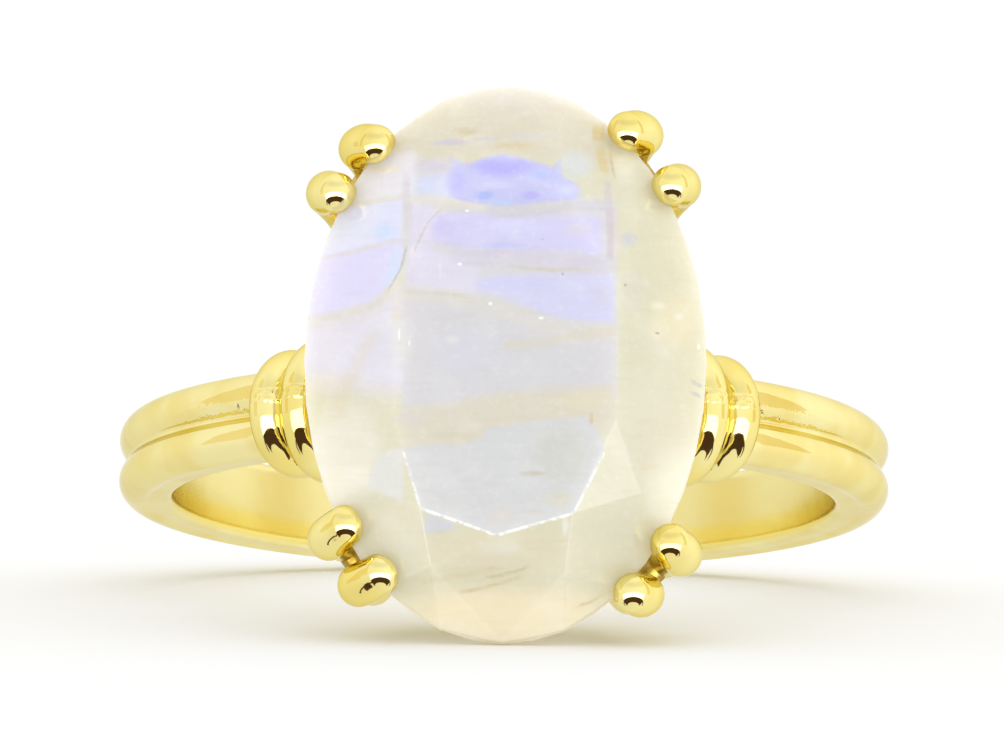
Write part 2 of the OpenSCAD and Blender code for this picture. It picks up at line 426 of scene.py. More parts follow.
@dataclass(frozen=True)
class GoldPlate:
    """Yellow gold plated on cast silver and buffed on a cloth wheel.

    It gives the eye a pale yellow mirror with a greenish cast, a little deeper where the plate is thick and duller
    where it is seen edge on, with reflections that wobble slightly because a cast surface is never quite true, and
    the faint haze of buffing. The finger hole and the stems under the stone, where the wheel doesn't reach, are
    satin, and in the hole the plate is thin and lets the silver lighten it. The groove beside the collars keeps the
    pits of the casting.
    """

    name: str = "polished_gold_plate"
    pale: str = "#F9EB9F"
    deep: str = "#F4E084"
    bore: str = "#F1E4A0"
    # A painted reflection: a deeper gold band along the lower edge of the finger hole's wall
    painted_bore_reflection: str = "#F6E27E"
    edge: str = "#E4DEBC"
    roughness: float = 0.055
    # A part of the studio, and no part of the ring.
    haze: float = 0.05
    satin: float = 0.25

    # The two ends of each change of zone: of the bore and the groove's floor out from the wall of the hole, of the
    # margin and the groove's sides along the finger, and of the others towards the stone
    bore_reach_mm: float = 0.1
    margin_mm: Point = (-0.2, -0.6)
    stems_low_mm: Point = (9.9, 10.5)
    stems_high_mm: Point = (14.4, 14.9)
    groove_start_mm: Point = (4.6, 6.6)
    groove_floor_mm: Point = (0.4, 0.5)
    groove_sides_mm: Point = (0.0, 0.46)

    # The size of each unevenness, and how deep it goes or between which values its noise comes to show
    cloud_mm: float = 1.6
    cloud_noise: Point = (0.35, 0.65)
    scratch_mm: float = 0.05
    scratch_noise: Point = (0.45, 0.8)
    wobble_mm: float = 0.95
    wobble_depth: float = 0.014
    pit_mm: float = 0.17
    pit_depth: float = 0.035
    noise_detail: tuple[float, ...] = (2.0, 3.0, 1.0, 1.0)

    def zones(self, tree: Tree) -> tuple[Node, Node, Node, Node]:
        """Where the metal is less polished.

        The distance from the finger axis is the length of the cross product of a place and the axis, and the
        distance along an axis is their dot product.

        Args:
            tree: the node tree.

        Returns:
            How much a place belongs to the wall of the hole, to that wall's lower margin, to the stems and to the
            groove beside the collars, each from 0 to 1.
        """
        place = from_hole(tree)
        across = add(tree, "VectorMath", (place, RING.finger), operation="CROSS_PRODUCT")
        reach = add(tree, "VectorMath", (across,), operation="LENGTH")
        finger = add(tree, "VectorMath", (place, RING.finger), operation="DOT_PRODUCT")
        height = add(tree, "VectorMath", (place, RING.outward), operation="DOT_PRODUCT")
        bore = add(tree, "MapRange", (reach, RING.hole_r, RING.hole_r + self.bore_reach_mm, 1, 0), **SMOOTH)
        low = add(tree, "MapRange", (finger, *self.margin_mm, 0, 1), **SMOOTH)
        margin = add(tree, "Math", (bore, low), operation="MULTIPLY")
        above = add(tree, "MapRange", (height, *self.stems_low_mm, 0, 1), **SMOOTH)
        below = add(tree, "MapRange", (height, *self.stems_high_mm, 1, 0), **SMOOTH)
        stems = add(tree, "Math", (above, below), operation="MULTIPLY")
        return bore, margin, stems, self.groove(tree, reach, finger, height)

    def groove(self, tree: Tree, reach: Node, finger: Node, height: Node) -> Node:
        """How much a place belongs to the unpolished side of the groove near the collars.

        Args:
            tree: the node tree.
            reach: the place's distance from the finger axis.
            finger: its distance along that axis.
            height: its distance towards the stone.

        Returns:
            A share from 0 to 1, which is full half way between the sides and falls to nothing at them.
        """
        low, high = self.groove_sides_mm
        floor, top = self.groove_floor_mm
        off = add(tree, "Math", (finger, (low + high) / 2), operation="SUBTRACT")
        flank = add(tree, "Math", (off,), operation="ABSOLUTE")
        inside = add(tree, "MapRange", (flank, (high - low) / 4, (high - low) / 2, 1, 0), **SMOOTH)
        beside = add(tree, "MapRange", (height, *self.groove_start_mm, 0, 1), **SMOOTH)
        outer = add(tree, "MapRange", (reach, RING.hole_r + floor, RING.hole_r + top, 0, 1), **SMOOTH)
        strip = add(tree, "Math", (beside, inside), operation="MULTIPLY")
        return add(tree, "Math", (strip, outer), operation="MULTIPLY")

    def material(self) -> Material:
        """The finish as a material.

        Returns:
            The material.
        """
        material, tree, shader = shader_tree(self.name)
        place = add(tree, "TexCoord", ()).outputs["Object"]
        sizes = (self.cloud_mm, self.scratch_mm, self.wobble_mm, self.pit_mm)
        cloud, scratch, wobble, pits = (
            add(tree, "TexNoise", {"Vector": place, "Scale": 1 / (size * MM), "Detail": detail})
            for size, detail in zip(sizes, self.noise_detail)
        )
        bore, margin, stems, groove = self.zones(tree)
        thin = add(tree, "MapRange", (cloud, *self.cloud_noise, 0, 1), **SMOOTH)
        # The last tone is the painted reflection along the hole's lower margin
        tones = [(self.pale, thin), (self.bore, bore), (self.painted_bore_reflection, margin)]
        hazy = (scratch, *self.scratch_noise, self.roughness, self.roughness + self.haze)
        buffed = add(tree, "MapRange", hazy, **SMOOTH)
        hidden = add(tree, "Math", (bore, stems), operation="MAXIMUM")
        satin = add(tree, "Math", (hidden, self.satin), operation="MULTIPLY")
        uneven = add(tree, "Math", (pits, groove), operation="MULTIPLY")
        pitted = add(tree, "Math", (uneven, self.pit_depth), operation="MULTIPLY")
        relief = add(tree, "Math", (wobble, self.wobble_depth, pitted), operation="MULTIPLY_ADD")
        feed(tree, shader, {
            "Metallic": 1.0,
            "Specular Tint": linear(self.edge),
            "Base Color": coats(tree, linear(self.deep), tones),
            "Roughness": add(tree, "Math", (buffed, satin), operation="MAXIMUM"),
            "Normal": add(tree, "Bump", {"Strength": 1.0, "Distance": MM, "Height": relief}),
        })
        return material


@dataclass(frozen=True)
class Veil:
    """A thin sheet of healed feldspar seen edge on: a line across the stone, or down it where upright."""

    line: tuple[Point, ...]
    half_width: float
    softness: float
    tone: str
    strength: float
    upright: bool = False
    sharp: bool = False
    fade: float = 0.3

    def mask(self, tree: Tree, u: Socket, v: Socket) -> Node:
        """How much of the veil's tone shows: full within half its width of the line, then fading.

        Args:
            tree: the node tree.
            u: how far the place lies across the stone, in millimetres.
            v: how far it lies up the stone.

        Returns:
            The node that gives the share, from 0 to 1.
        """
        across, up = (v, u) if self.upright else (u, v)
        height = line_height(tree, across, self.line, self.sharp)
        off = add(tree, "Math", (add(tree, "Math", (up, height), operation="SUBTRACT"),), operation="ABSOLUTE")
        reach = self.half_width + self.softness
        body = add(tree, "MapRange", (off, self.half_width, reach, self.strength, 0), **SMOOTH)
        return add(tree, "Math", (body, line_ends(tree, across, self.line, self.fade)), operation="MULTIPLY")


@dataclass(frozen=True)
class Patch:
    """A sheet of the stone seen broadside: the field between two lines across it."""

    top: tuple[Point, ...]
    bottom: tuple[Point, ...]
    softness: float
    tone: str
    strength: float
    sharp: bool = False
    fade: float = 0.3

    def mask(self, tree: Tree, u: Socket, v: Socket) -> Node:
        """How much of the patch's tone shows: full between the lines, fading outside them.

        Args:
            tree: the node tree.
            u: how far the place lies across the stone, in millimetres.
            v: how far it lies up the stone.

        Returns:
            The node that gives the share, from 0 to 1.
        """
        top, bottom = (line_height(tree, u, line, self.sharp) for line in (self.top, self.bottom))
        under = add(tree, "Math", (top, v), operation="SUBTRACT")
        over = add(tree, "Math", (v, bottom), operation="SUBTRACT")
        under = add(tree, "MapRange", (under, -self.softness, self.softness, 0, self.strength), **SMOOTH)
        over = add(tree, "MapRange", (over, -self.softness, self.softness, 0, 1), **SMOOTH)
        body = add(tree, "Math", (under, over), operation="MULTIPLY")
        return add(tree, "Math", (body, line_ends(tree, u, self.top, self.fade)), operation="MULTIPLY")


@dataclass(frozen=True)
class Glow:
    """A soft oval of light or shade inside the stone, or a speck where it is small."""

    u: float
    v: float
    wide: float
    tall: float
    tone: str
    strength: float
    core: float = 0.15

    def mask(self, tree: Tree, u: Socket, v: Socket) -> Node:
        """How much of the glow's tone shows: full in its core, then fading out to its edge.

        Args:
            tree: the node tree.
            u: how far the place lies across the stone, in millimetres.
            v: how far it lies up the stone.

        Returns:
            The node that gives the share, from 0 to 1.
        """
        across, up = (
            add(tree, "Math", (add(tree, "Math", (place, middle), operation="SUBTRACT"), reach), operation="DIVIDE")
            for place, middle, reach in ((u, self.u, self.wide), (v, self.v, self.tall))
        )
        square = add(tree, "Math", (up, up), operation="MULTIPLY")
        square = add(tree, "Math", (across, across, square), operation="MULTIPLY_ADD")
        way = add(tree, "Math", (square,), operation="SQRT")
        return add(tree, "MapRange", (way, self.core, 1, self.strength, 0), **SMOOTH)


def line_share(tree: Tree, u: Socket, line: tuple[Point, ...]) -> Node:
    """How far a place is along a line: the way from its start divided by its reach, from 0 to 1."""
    way = add(tree, "Math", (u, line[0][0]), operation="SUBTRACT")
    return add(tree, "Math", (way, line[-1][0] - line[0][0]), operation="DIVIDE")


def line_height(tree: Tree, u: Socket, line: tuple[Point, ...], sharp: bool) -> Node:
    """The height of a line over each place along it.

    The heights are brought between 0 and 1 for the curve that runs through them, and back after it.

    Args:
        tree: the node tree.
        u: the place along the line, in millimetres.
        line: its points, in order of their places.
        sharp: whether its corners stay corners.

    Returns:
        The node that gives the height in millimetres.
    """
    heights = [height for _, height in line]
    start, reach = line[0][0], line[-1][0] - line[0][0]
    base, rise = min(heights), max(max(heights) - min(heights), TINY_MM)
    bend = add(tree, "FloatCurve", {"Value": line_share(tree, u, line)})
    points = bend.mapping.curves[0].points
    while len(points) < len(line):
        points.new(0.5, 0.5)
    for point, (place, height) in zip(points, line):
        point.location = ((place - start) / reach, (height - base) / rise)
        point.handle_type = "VECTOR" if sharp else "AUTO"
    bend.mapping.update()
    return add(tree, "Math", (bend, rise, base), operation="MULTIPLY_ADD")


def line_ends(tree: Tree, u: Socket, line: tuple[Point, ...], fade: float) -> Node:
    """A factor that fades out at the two ends of a line.

    Args:
        tree: the node tree.
        u: the place along the line, in millimetres.
        line: its points, in order of their places.
        fade: how far in from its ends the factor is full, in millimetres.

    Returns:
        The node that gives the factor, from 0 to 1.
    """
    share, part = line_share(tree, u, line), fade / (line[-1][0] - line[0][0])
    near = add(tree, "MapRange", (share, 0, part, 0, 1), **SMOOTH)
    far = add(tree, "MapRange", (share, 1 - part, 1, 1, 0), **SMOOTH)
    return add(tree, "Math", (near, far), operation="MULTIPLY")


@dataclass(frozen=True)
class Moonstone:
    """Rainbow moonstone, a feldspar cut with flat facets and polished on a lap.

    It gives the eye a milky stone with light inside it: lavender and blue where the sheets of feldspar face the
    viewer, cream where they don't, beige veils where they have healed, and a clear bright gloss, but for the
    girdle, which is ground and not polished. Places are millimetres from the middle of the stone on a plane that
    leans with those sheets.
    """

    middle: tuple[float, float, float] = (0.0, 0.0, GIRDLE_Z_MM)
    lean_deg: float = 10.5
    turn_deg: float = 0.7
    body: str = "#E5E2CB"
    # Dims the base colour to make room for the painted glow
    glow_dimmed_base: str = "#E6E6E4"
    refractive_index: float = 1.52
    specular: float = 0.5
    roughness: float = 0.07
    glow: float = 1.0
    glow_mm: float = 2.6
    glow_tint: tuple[float, float, float] = (1.0, 0.9, 0.8)

    # A painted glow, given off as emission: it stands in for light through the stone from behind and lifts the
    # claws' shadows on it. Its share in the thick and in the thin end, and where it changes
    through: Point = (0.2, 0.22)
    thin_end_mm: Point = (-3.8, -6.2)

    # How far the marks are pushed about, and the size of what pushes them
    ripple_mm: float = 0.035
    ripple_grain_mm: float = 0.35

    # The size of each fine unevenness, and the smooth step of its noise that gives a tone its share
    cloud_mm: float = 0.8
    cloud_share: Step = (0.45, 0.8, 0, 0.16)
    mottle_mm: float = 0.16
    mottle_share: Step = (0.5, 0.75, 0, 0.14)
    glitter_share: Step = (0.42, 0.54, 0.2, 1)
    fibre_mm: Point = (0.9, 0.14)
    fibre_share: Step = (0.45, 0.8, 0, 0.16)
    fibre_tone: str = "#E9E5E1"
    patchy_share: Step = (0.35, 0.6, 0.5, 1)

    # The girdle: how far off its middle height it is full and ends
    girdle_mm: Point = (0.16, 0.2)
    girdle_tone: str = "#DFD6BC"
    girdle_cover: float = 0.8
    girdle_roughness: float = 0.6

    fields: tuple[Patch | Glow | Veil, ...] = (
        # The cream right side and ends, with painted light where the stone lies in shade
        Glow(3.9, -1.9, 1.5, 2.4, "#EBE5D1", 0.8),
        Glow(4.15, 1.05, 0.75, 1.0, "#F0E9CE", 0.9),
        Glow(3.75, 0.9, 0.35, 0.5, "#F2ECD2", 0.7),
        Glow(4.2, -3.1, 1.0, 1.5, "#F8F7E4", 0.9),
        # Partly the stone's cream and partly painted light, lifting the lower end, which the shaded floor dims
        Glow(0.0, -6.4, 4.4, 1.3, "#FBF0D4", 0.9, 0.4),
        Glow(-2.9, -4.0, 1.2, 0.9, "#F0EAD4", 0.8),
        Glow(0.0, -4.6, 3.6, 0.8, "#EBE4CE", 0.7, 0.3),
        Patch(((-4.4, 7.6), (0, 7.6), (3.4, 7.6)), ((-4.4, 4.8), (0, 5.0), (3.4, 4.6)), 0.4, "#E0DAC8", 0.9,
              fade=0.9),
        Glow(0.2, 6.5, 1.8, 0.5, "#E1DBD3", 0.8),
        # Painted light that lifts the shadow of the upper right claws on the stone
        Glow(2.95, 4.95, 0.45, 0.7, "#F4F1DE", 0.95),
        # The left side, in sheets from the claws down
        Patch(((-4.6, 5.3), (-3.5, 5.3), (-2.0, 5.2)), ((-4.6, 3.8), (-3.5, 3.95), (-2.0, 4.1)), 0.22, "#F0EEF6",
              1.0),
        Patch(((-5.4, 3.6), (-4.0, 3.82), (-3.4, 3.95), (-2.4, 4.08)), ((-5.4, 2.45), (-3.8, 2.74), (-2.4, 3.02)),
              0.08, "#E7E8FF", 1.0, fade=0.2),
        Patch(((-5.4, 2.45), (-3.8, 2.74), (-2.42, 3.0)),
              ((-5.4, 1.05), (-4.2, 1.2), (-3.5, 1.37), (-3.1, 1.65), (-2.8, 2.0), (-2.6, 2.45), (-2.42, 2.95)),
              0.07, "#E5E2FF", 1.0, fade=0.14),
        Patch(((-5.4, 1.05), (-4.2, 1.2), (-3.5, 1.37), (-2.6, 1.7), (-2.0, 1.7)),
              ((-5.4, -0.2), (-3.6, -0.6), (-2.0, -0.8)), 0.45, "#E8E5F1", 1.0, fade=0.5),
        Glow(-4.35, 0.7, 0.6, 0.5, "#EBE7F5", 0.7),
        Glow(-4.3, -0.5, 0.6, 0.5, "#EBE4DC", 0.7),
        Glow(-3.9, -2.2, 1.3, 1.6, "#F1EEE0", 0.95, 0.4),
        Glow(-3.6, -2.75, 0.6, 0.4, "#FAF8EC", 0.8),
        Glow(-4.2, -3.1, 0.9, 0.8, "#FAF7E6", 0.7),
        Glow(-3.0, 3.25, 0.5, 0.35, "#D9E6FE", 0.9),
        Glow(-3.9, 3.3, 0.9, 0.4, "#E6EAFF", 0.95),
        Veil(((1.75, -3.05), (2.1, -2.82), (2.5, -2.66), (2.95, -2.56)), 0.1, 0.18, "#DEE6FE", 0.8, upright=True),
        # The middle of the table
        Patch(((-2.6, 4.1), (0, 3.9), (2.82, 4.0)), ((-2.6, -1.3), (0, -1.0), (2.82, -0.9)), 0.3, "#E2E0E5", 1.0,
              fade=0.2),
        Patch(((-2.5, 3.95), (-2.2, 3.95), (-1.6, 3.9)), ((-2.5, 1.8), (-2.2, 1.8), (-1.6, 2.9)), 0.15, "#E6E1F4",
              0.9),
        Patch(((-2.35, 2.85), (-1.5, 2.7), (-0.5, 2.55)), ((-2.35, 1.8), (-1.5, 1.75), (-0.5, 1.6)), 0.12,
              "#E8E5F5", 0.95),
        Patch(((-1.95, 3.55), (-1.2, 3.7), (-0.2, 3.66), (1.0, 3.62), (2.5, 3.6)),
              ((-1.95, 3.1), (-1.2, 2.85), (0, 2.72), (1.2, 2.75), (2.5, 2.6)), 0.15, "#DEDBFB", 1.0, fade=0.34),
        Glow(-1.5, 3.35, 0.45, 0.36, "#D9D3F7", 0.9),
        Glow(0.25, 3.36, 1.2, 0.26, "#E2E2FF", 0.9),
        Glow(1.75, 3.3, 0.5, 0.3, "#E4DEEA", 0.6),
        Glow(-0.1, 2.9, 0.75, 0.15, "#D2D4FC", 0.9),
        Glow(2.15, 2.95, 0.38, 0.35, "#DFDBFC", 0.9),
        Patch(((-0.85, 2.05), (0, 2.15), (1.5, 2.2), (2.8, 2.18)),
              ((-0.85, 1.85), (0, 1.6), (1.0, 1.22), (2.0, 1.0), (2.8, 0.92)), 0.14, "#DEDEFA", 1.0, fade=0.3),
        Glow(0.2, 1.95, 1.1, 0.25, "#D9DAFC", 0.8),
        Glow(2.35, 1.7, 0.4, 0.5, "#DEDBEE", 0.7),
        Patch(((-2.1, 1.45), (0, 1.0), (1.2, 0.5), (2.7, 0.2)), ((-2.1, -0.9), (0, -0.7), (2.7, -0.6)), 0.3,
              "#DFDEE3", 0.8, fade=0.5),
        Glow(-1.0, 0.3, 1.2, 0.8, "#E1E0EC", 0.7),
        Glow(-2.55, 0.55, 0.4, 0.9, "#EAE9E9", 0.9),
        Glow(-2.9, 1.0, 0.35, 0.35, "#EDEBF0", 0.7),
        Glow(2.0, 3.88, 0.6, 0.12, "#E2DAD4", 0.6),
        Glow(3.0, 3.05, 0.35, 0.3, "#D8D8DF", 0.8),
        Glow(3.1, 1.8, 0.5, 0.8, "#E3DFD2", 0.7),
        # The beige band over the painted grey shade of the stone's floor
        Patch(((-2.7, -1.1), (-1.5, -0.98), (0, -0.7), (1.5, -0.58), (2.8, -0.5)),
              ((-2.7, -2.3), (0, -1.9), (2.8, -1.6)), 0.2, "#E5DFD1", 1.0, fade=0.35),
        Glow(-2.35, -1.35, 0.6, 0.3, "#E1DCD7", 0.8),
        Glow(1.9, -0.9, 1.1, 0.35, "#EAE3CB", 0.8),
        Glow(-1.3, -1.75, 0.9, 0.13, "#DEDAC4", 0.8),
        # Painted shade where the stone's floor shows greyer through the table, ending at the table's edges, and its
        # painted reflection in the facet beside
        Patch(((-3.4, -2.9), (-3.1, -2.3), (-2.9, -2.15), (-2.4, -2.05)),
              ((-3.4, -3.0), (-3.1, -3.13), (-2.0, -3.55)), 0.07, "#EAEBEA", 0.85, fade=0.16),
        Patch(((-2.5, -2.06), (-1.7, -1.93), (-1.1, -2.0), (-0.6, -1.8), (-0.4, -1.56), (0.2, -1.47), (1.0, -1.36),
               (1.95, -1.29), (2.15, -1.4), (2.36, -1.85), (2.44, -2.1)),
              ((-2.5, -2.1), (-2.06, -3.53), (-0.2, -4.17), (1.66, -3.64), (2.44, -2.1)), 0.05, "#DFE0E2", 1.0,
              sharp=True, fade=0.06),
        Glow(1.3, -2.2, 1.0, 1.0, "#DCDCD8", 0.9, 0.3),
        Glow(-1.6, -2.6, 0.5, 0.6, "#E3E4E6", 0.8),
        Glow(-0.1, -3.7, 0.5, 0.35, "#E4E0DD", 0.8),
        Glow(1.3, -3.3, 0.5, 0.35, "#E1DECF", 0.7),
        # Light thrown below the table
        Patch(((-2.1, -3.56), (-1.6, -3.73), (-1.1, -3.88)), ((-2.1, -4.15), (-1.6, -4.1), (-1.1, -4.0)), 0.1,
              "#DCDFEC", 0.8, fade=0.3),
        Glow(-0.2, -4.5, 0.7, 0.3, "#EDEADB", 0.9),
        Glow(1.45, -3.95, 0.12, 0.35, "#F2F4EE", 0.8),
    )
    flash: tuple[Patch | Glow, ...] = (
        # Blue light from deep sheets under the table's upper end
        Patch(((-2.4, 4.55), (-1.9, 4.68), (-1.1, 4.78)), ((-2.4, 4.12), (-1.9, 4.1), (-1.1, 4.05)), 0.16,
              "#DDE2FB", 0.95, fade=0.35),
        Patch(((-2.4, 5.0), (-1.9, 5.02), (-1.2, 4.98)), ((-2.4, 4.66), (-1.9, 4.7), (-1.2, 4.74)), 0.16,
              "#DCD6EC", 0.85, fade=0.4),
        Patch(((-1.52, 4.62), (-1.36, 5.15), (-1.12, 4.95), (-0.88, 4.92), (-0.45, 5.08), (-0.06, 5.15),
               (0.35, 5.06), (0.85, 4.92), (1.12, 4.82), (1.36, 5.02), (1.42, 4.6), (1.75, 4.42), (2.0, 4.15)),
              ((-1.52, 4.4), (-1.36, 4.05), (-1.1, 3.97), (-0.6, 3.9), (-0.1, 3.85), (0.4, 3.88), (1.0, 3.95),
               (1.5, 3.98), (1.75, 4.0), (2.0, 4.05)), 0.08, "#D0D1FD", 0.92, sharp=True, fade=0.38),
        Glow(-0.05, 4.82, 1.0, 0.33, "#BDBAFD", 1.0, 0.25),
        Glow(-1.24, 4.45, 0.36, 0.5, "#CAC6FE", 0.9),
        Glow(-0.2, 4.38, 0.7, 0.15, "#DCDEFE", 0.9, 0.1),
        Glow(-0.52, 4.12, 0.35, 0.16, "#BBC9FB", 1.0, 0.3),
        Glow(0.62, 4.13, 0.35, 0.14, "#C5C3FA", 1.0, 0.3),
        Glow(-0.1, 3.95, 0.5, 0.1, "#C9DCFC", 1.0),
        Glow(0.85, 4.65, 0.5, 0.2, "#C2CDFD", 0.9),
        Glow(1.5, 4.28, 0.4, 0.2, "#D9DCFF", 1.0, 0.2),
        Glow(1.7, 4.9, 0.6, 0.5, "#DFE3E3", 0.95, 0.3),
        Glow(0.6, 5.6, 0.9, 0.12, "#DDDCDA", 0.8),
        Glow(-1.35, 5.45, 0.7, 0.13, "#D4CEDC", 0.9),
        Glow(-0.5, 5.52, 0.5, 0.06, "#D5D2E0", 0.8),
    )
    stains: tuple[Glow | Veil, ...] = (
        # Brown and amber stains, and one patch of painted light beside the upper left claws
        Glow(-1.0, 5.73, 0.46, 0.17, "#D5C8AA", 1.0, 0.2),
        Glow(0.25, 5.34, 0.75, 0.14, "#E1D3B4", 1.0, 0.25),
        Veil(((4.55, 2.48), (5.0, 2.38), (5.45, 2.3)), 0.07, 0.08, "#E5D4A2", 1.0, upright=True),
        Veil(((5.45, 2.3), (5.7, 2.29), (5.95, 2.32)), 0.12, 0.06, "#DDCB94", 1.0, upright=True, fade=0.12),
        Veil(((4.5, 2.72), (4.9, 2.62), (5.3, 2.58)), 0.015, 0.05, "#DDCDA0", 0.9, upright=True, fade=0.15),
        Veil(((2.4, 2.55), (3.2, 2.57), (4.0, 2.52), (4.6, 2.5)), 0.04, 0.09, "#D9CFD5", 0.9, upright=True),
        # Painted light that lifts the shadow of the upper left claws on the stone
        Glow(-3.0, 4.79, 0.55, 0.1, "#F6EDDD", 0.9, 0.3),
        Glow(-2.65, 1.2, 0.2, 0.4, "#EAE0C9", 0.6),
        Veil(((-1.5, -4.2), (-0.9, -4.05), (-0.3, -3.75), (0.3, -3.45), (0.9, -3.2)), 0.03, 0.3, "#E7DDC6", 0.5,
             upright=True),
        Glow(0.68, -2.67, 0.45, 0.1, "#D1C8B8", 0.95, 0.2),
        Glow(0.7, -3.6, 0.4, 0.07, "#E2D8CD", 0.7),
        Glow(2.1, -1.35, 0.08, 0.22, "#DCD2AE", 1.0, 0.3),
    )
    veils: tuple[Veil, ...] = (
        Veil(((-4.4, 3.68), (-4.0, 3.84), (-3.4, 3.97), (-2.4, 4.07), (-1.5, 4.02), (-0.8, 3.86), (-0.3, 3.8)),
             0.03, 0.08, "#E7E4E1", 0.9),
        Veil(((-0.6, 3.78), (0.2, 3.72), (1.0, 3.78), (1.9, 3.88), (2.8, 3.86)), 0.07, 0.14, "#D9D7E2", 0.9),
        Veil(((-4.8, 2.55), (-3.8, 2.74), (-3.2, 2.9), (-2.4, 3.03), (-1.7, 2.85), (-1.1, 2.72)), 0.02, 0.07,
             "#E3DEE9", 0.9),
        Veil(((-1.5, 2.75), (-0.5, 2.6), (0.6, 2.6), (1.6, 2.45), (2.7, 2.4)), 0.14, 0.15, "#DEDAE9", 0.9),
        Veil(((-0.1, 2.42), (0.6, 2.34), (1.3, 2.3), (2.2, 2.36)), 0.02, 0.06, "#DAD5CC", 0.8),
        Veil(((-5.2, 1.05), (-4.2, 1.2), (-3.55, 1.37), (-3.1, 1.5), (-2.8, 1.68), (-2.4, 1.75)), 0.05, 0.09,
             "#E5E1E0", 0.95),
        Veil(((-5.0, 0.8), (-4.2, 0.95), (-3.4, 1.1), (-2.9, 1.25)), 0.015, 0.06, "#E9E4EA", 0.8),
        Veil(((-2.9, 1.68), (-2.2, 1.72), (-1.5, 1.64), (-0.5, 1.43), (0.5, 1.12), (1.3, 0.88), (2.85, 0.8)),
             0.1, 0.22, "#E6E3DE", 0.9),
        Veil(((-2.6, 1.78), (-1.6, 1.72), (-0.8, 1.6)), 0.02, 0.06, "#DED8CB", 0.8),
        Veil(((-0.2, 0.49), (0.6, 0.47), (1.2, 0.58), (2.0, 0.72), (2.9, 0.8)), 0.04, 0.13, "#E4DDCC", 0.7),
        Veil(((0.3, 0.75), (1.4, 0.62), (2.9, 0.95)), 0.02, 0.1, "#E5DFD4", 0.6),
        # Cracks
        Veil(((3.1, -2.44), (3.7, -2.4), (4.2, -2.44), (4.8, -2.42)), 0.05, 0.1, "#DFDBE4", 0.7, upright=True),
        Veil(((1.68, -2.95), (2.04, -2.72), (2.5, -2.52), (2.95, -2.42)), 0.015, 0.035, "#C9C2B8", 0.8,
             upright=True, fade=0.2),
        Veil(((2.6, -2.3), (3.1, -2.08), (3.5, -1.85), (3.85, -1.52)), 0.01, 0.045, "#CBC5B9", 0.55, upright=True,
             fade=0.1),
        # Streaks in the cream end
        Veil(((-0.6, -5.22), (0.1, -5.1), (0.7, -4.88)), 0.015, 0.06, "#DACDA4", 0.85),
        Veil(((-1.2, -5.6), (-0.3, -5.4), (0.5, -5.15)), 0.012, 0.07, "#DCD0AA", 0.75),
        Veil(((-2.2, -5.35), (-1.0, -5.15), (0.0, -4.95)), 0.02, 0.12, "#E1D7B6", 0.6),
        Veil(((1.6, -6.0), (2.1, -5.8), (2.5, -5.6)), 0.01, 0.06, "#DCD0A8", 0.7),
        Veil(((2.6, -2.6), (3.2, -2.55), (3.9, -2.45)), 0.02, 0.08, "#E9E1C2", 0.6),
        # Grey-blue feathers at the right edge
        Veil(((4.5, -0.4), (4.72, -0.5), (4.88, -0.56)), 0.025, 0.05, "#C5CBCB", 1.0, fade=0.12),
        Veil(((4.5, -0.7), (4.7, -0.76), (4.86, -0.84)), 0.02, 0.05, "#BFC6C8", 1.0, fade=0.12),
    )
    specks: tuple[Glow, ...] = (
        # Bright flecks, then dark ones
        Glow(-1.12, 2.44, 0.08, 0.05, WHITE, 1.0, 0.4),
        Glow(-0.37, 1.47, 0.07, 0.06, WHITE, 1.0, 0.4),
        Glow(0.87, 1.12, 0.09, 0.05, WHITE, 0.9, 0.4),
        Glow(-1.3, 0.6, 0.3, 0.16, "#F6F4F4", 0.4, 0.0),
        Glow(-0.94, 3.75, 0.08, 0.04, WHITE, 0.9, 0.4),
        Glow(-2.6, 0.72, 0.03, 0.22, WHITE, 0.9, 0.4),
        Glow(-2.35, 0.5, 0.03, 0.12, WHITE, 0.8, 0.4),
        Glow(-2.28, 2.75, 0.1, 0.18, "#FAF4F8", 0.5, 0.1),
        Glow(-1.6, 2.3, 0.04, 0.35, "#F2F0F8", 0.6, 0.3),
        Glow(3.75, 1.42, 0.3, 0.2, "#FFFEF0", 0.5, 0.0),
        Glow(4.25, 1.15, 0.2, 0.14, WHITE, 0.5, 0.0),
        Glow(4.75, 0.42, 0.05, 0.08, WHITE, 1.0, 0.4),
        Glow(1.4, 2.2, 0.04, 0.06, "#B9BEC6", 0.8, 0.4),
        Glow(2.93, 1.93, 0.05, 0.05, "#C4BCA8", 0.9, 0.4),
        Glow(3.72, 0.75, 0.08, 0.04, "#C4C3B4", 0.9, 0.4),
        Glow(0.9, 3.05, 0.06, 0.04, "#CFC9DE", 0.7, 0.4),
    )
    table_edge_glints: tuple[Veil, ...] = (
        # Painted glints along the table's edges, mostly at its lower end, broken up by noise
        Veil(((-3.53, -2.06), (-2.1, -2.5)), 0.015, 0.04, WHITE, 0.7, upright=True, sharp=True, fade=0.1),
        Veil(((-2.06, -3.53), (-0.2, -4.17)), 0.02, 0.035, WHITE, 1.0, sharp=True, fade=0.05),
        Veil(((-0.2, -4.17), (1.66, -3.64)), 0.02, 0.035, WHITE, 1.0, sharp=True, fade=0.05),
        Veil(((-3.64, 1.66), (-2.1, 2.44)), 0.015, 0.04, WHITE, 0.7, upright=True, sharp=True, fade=0.1),
    )

    def plane(self, tree: Tree) -> Node:
        """Object coordinates turned into millimetres on the plane of the sheets.

        Args:
            tree: the node tree.

        Returns:
            The node that gives the place: across the stone, up it and out of it.
        """
        turn = leant(self.lean_deg, self.turn_deg) @ RING.turn().transposed()
        return add(tree, "Mapping", {
            "Vector": add(tree, "TexCoord", ()).outputs["Object"],
            "Location": -(turn @ RING.spot(*self.middle)) / MM,
            "Rotation": turn.to_euler("XYZ"),
            "Scale": (1 / MM,) * 3,
        })

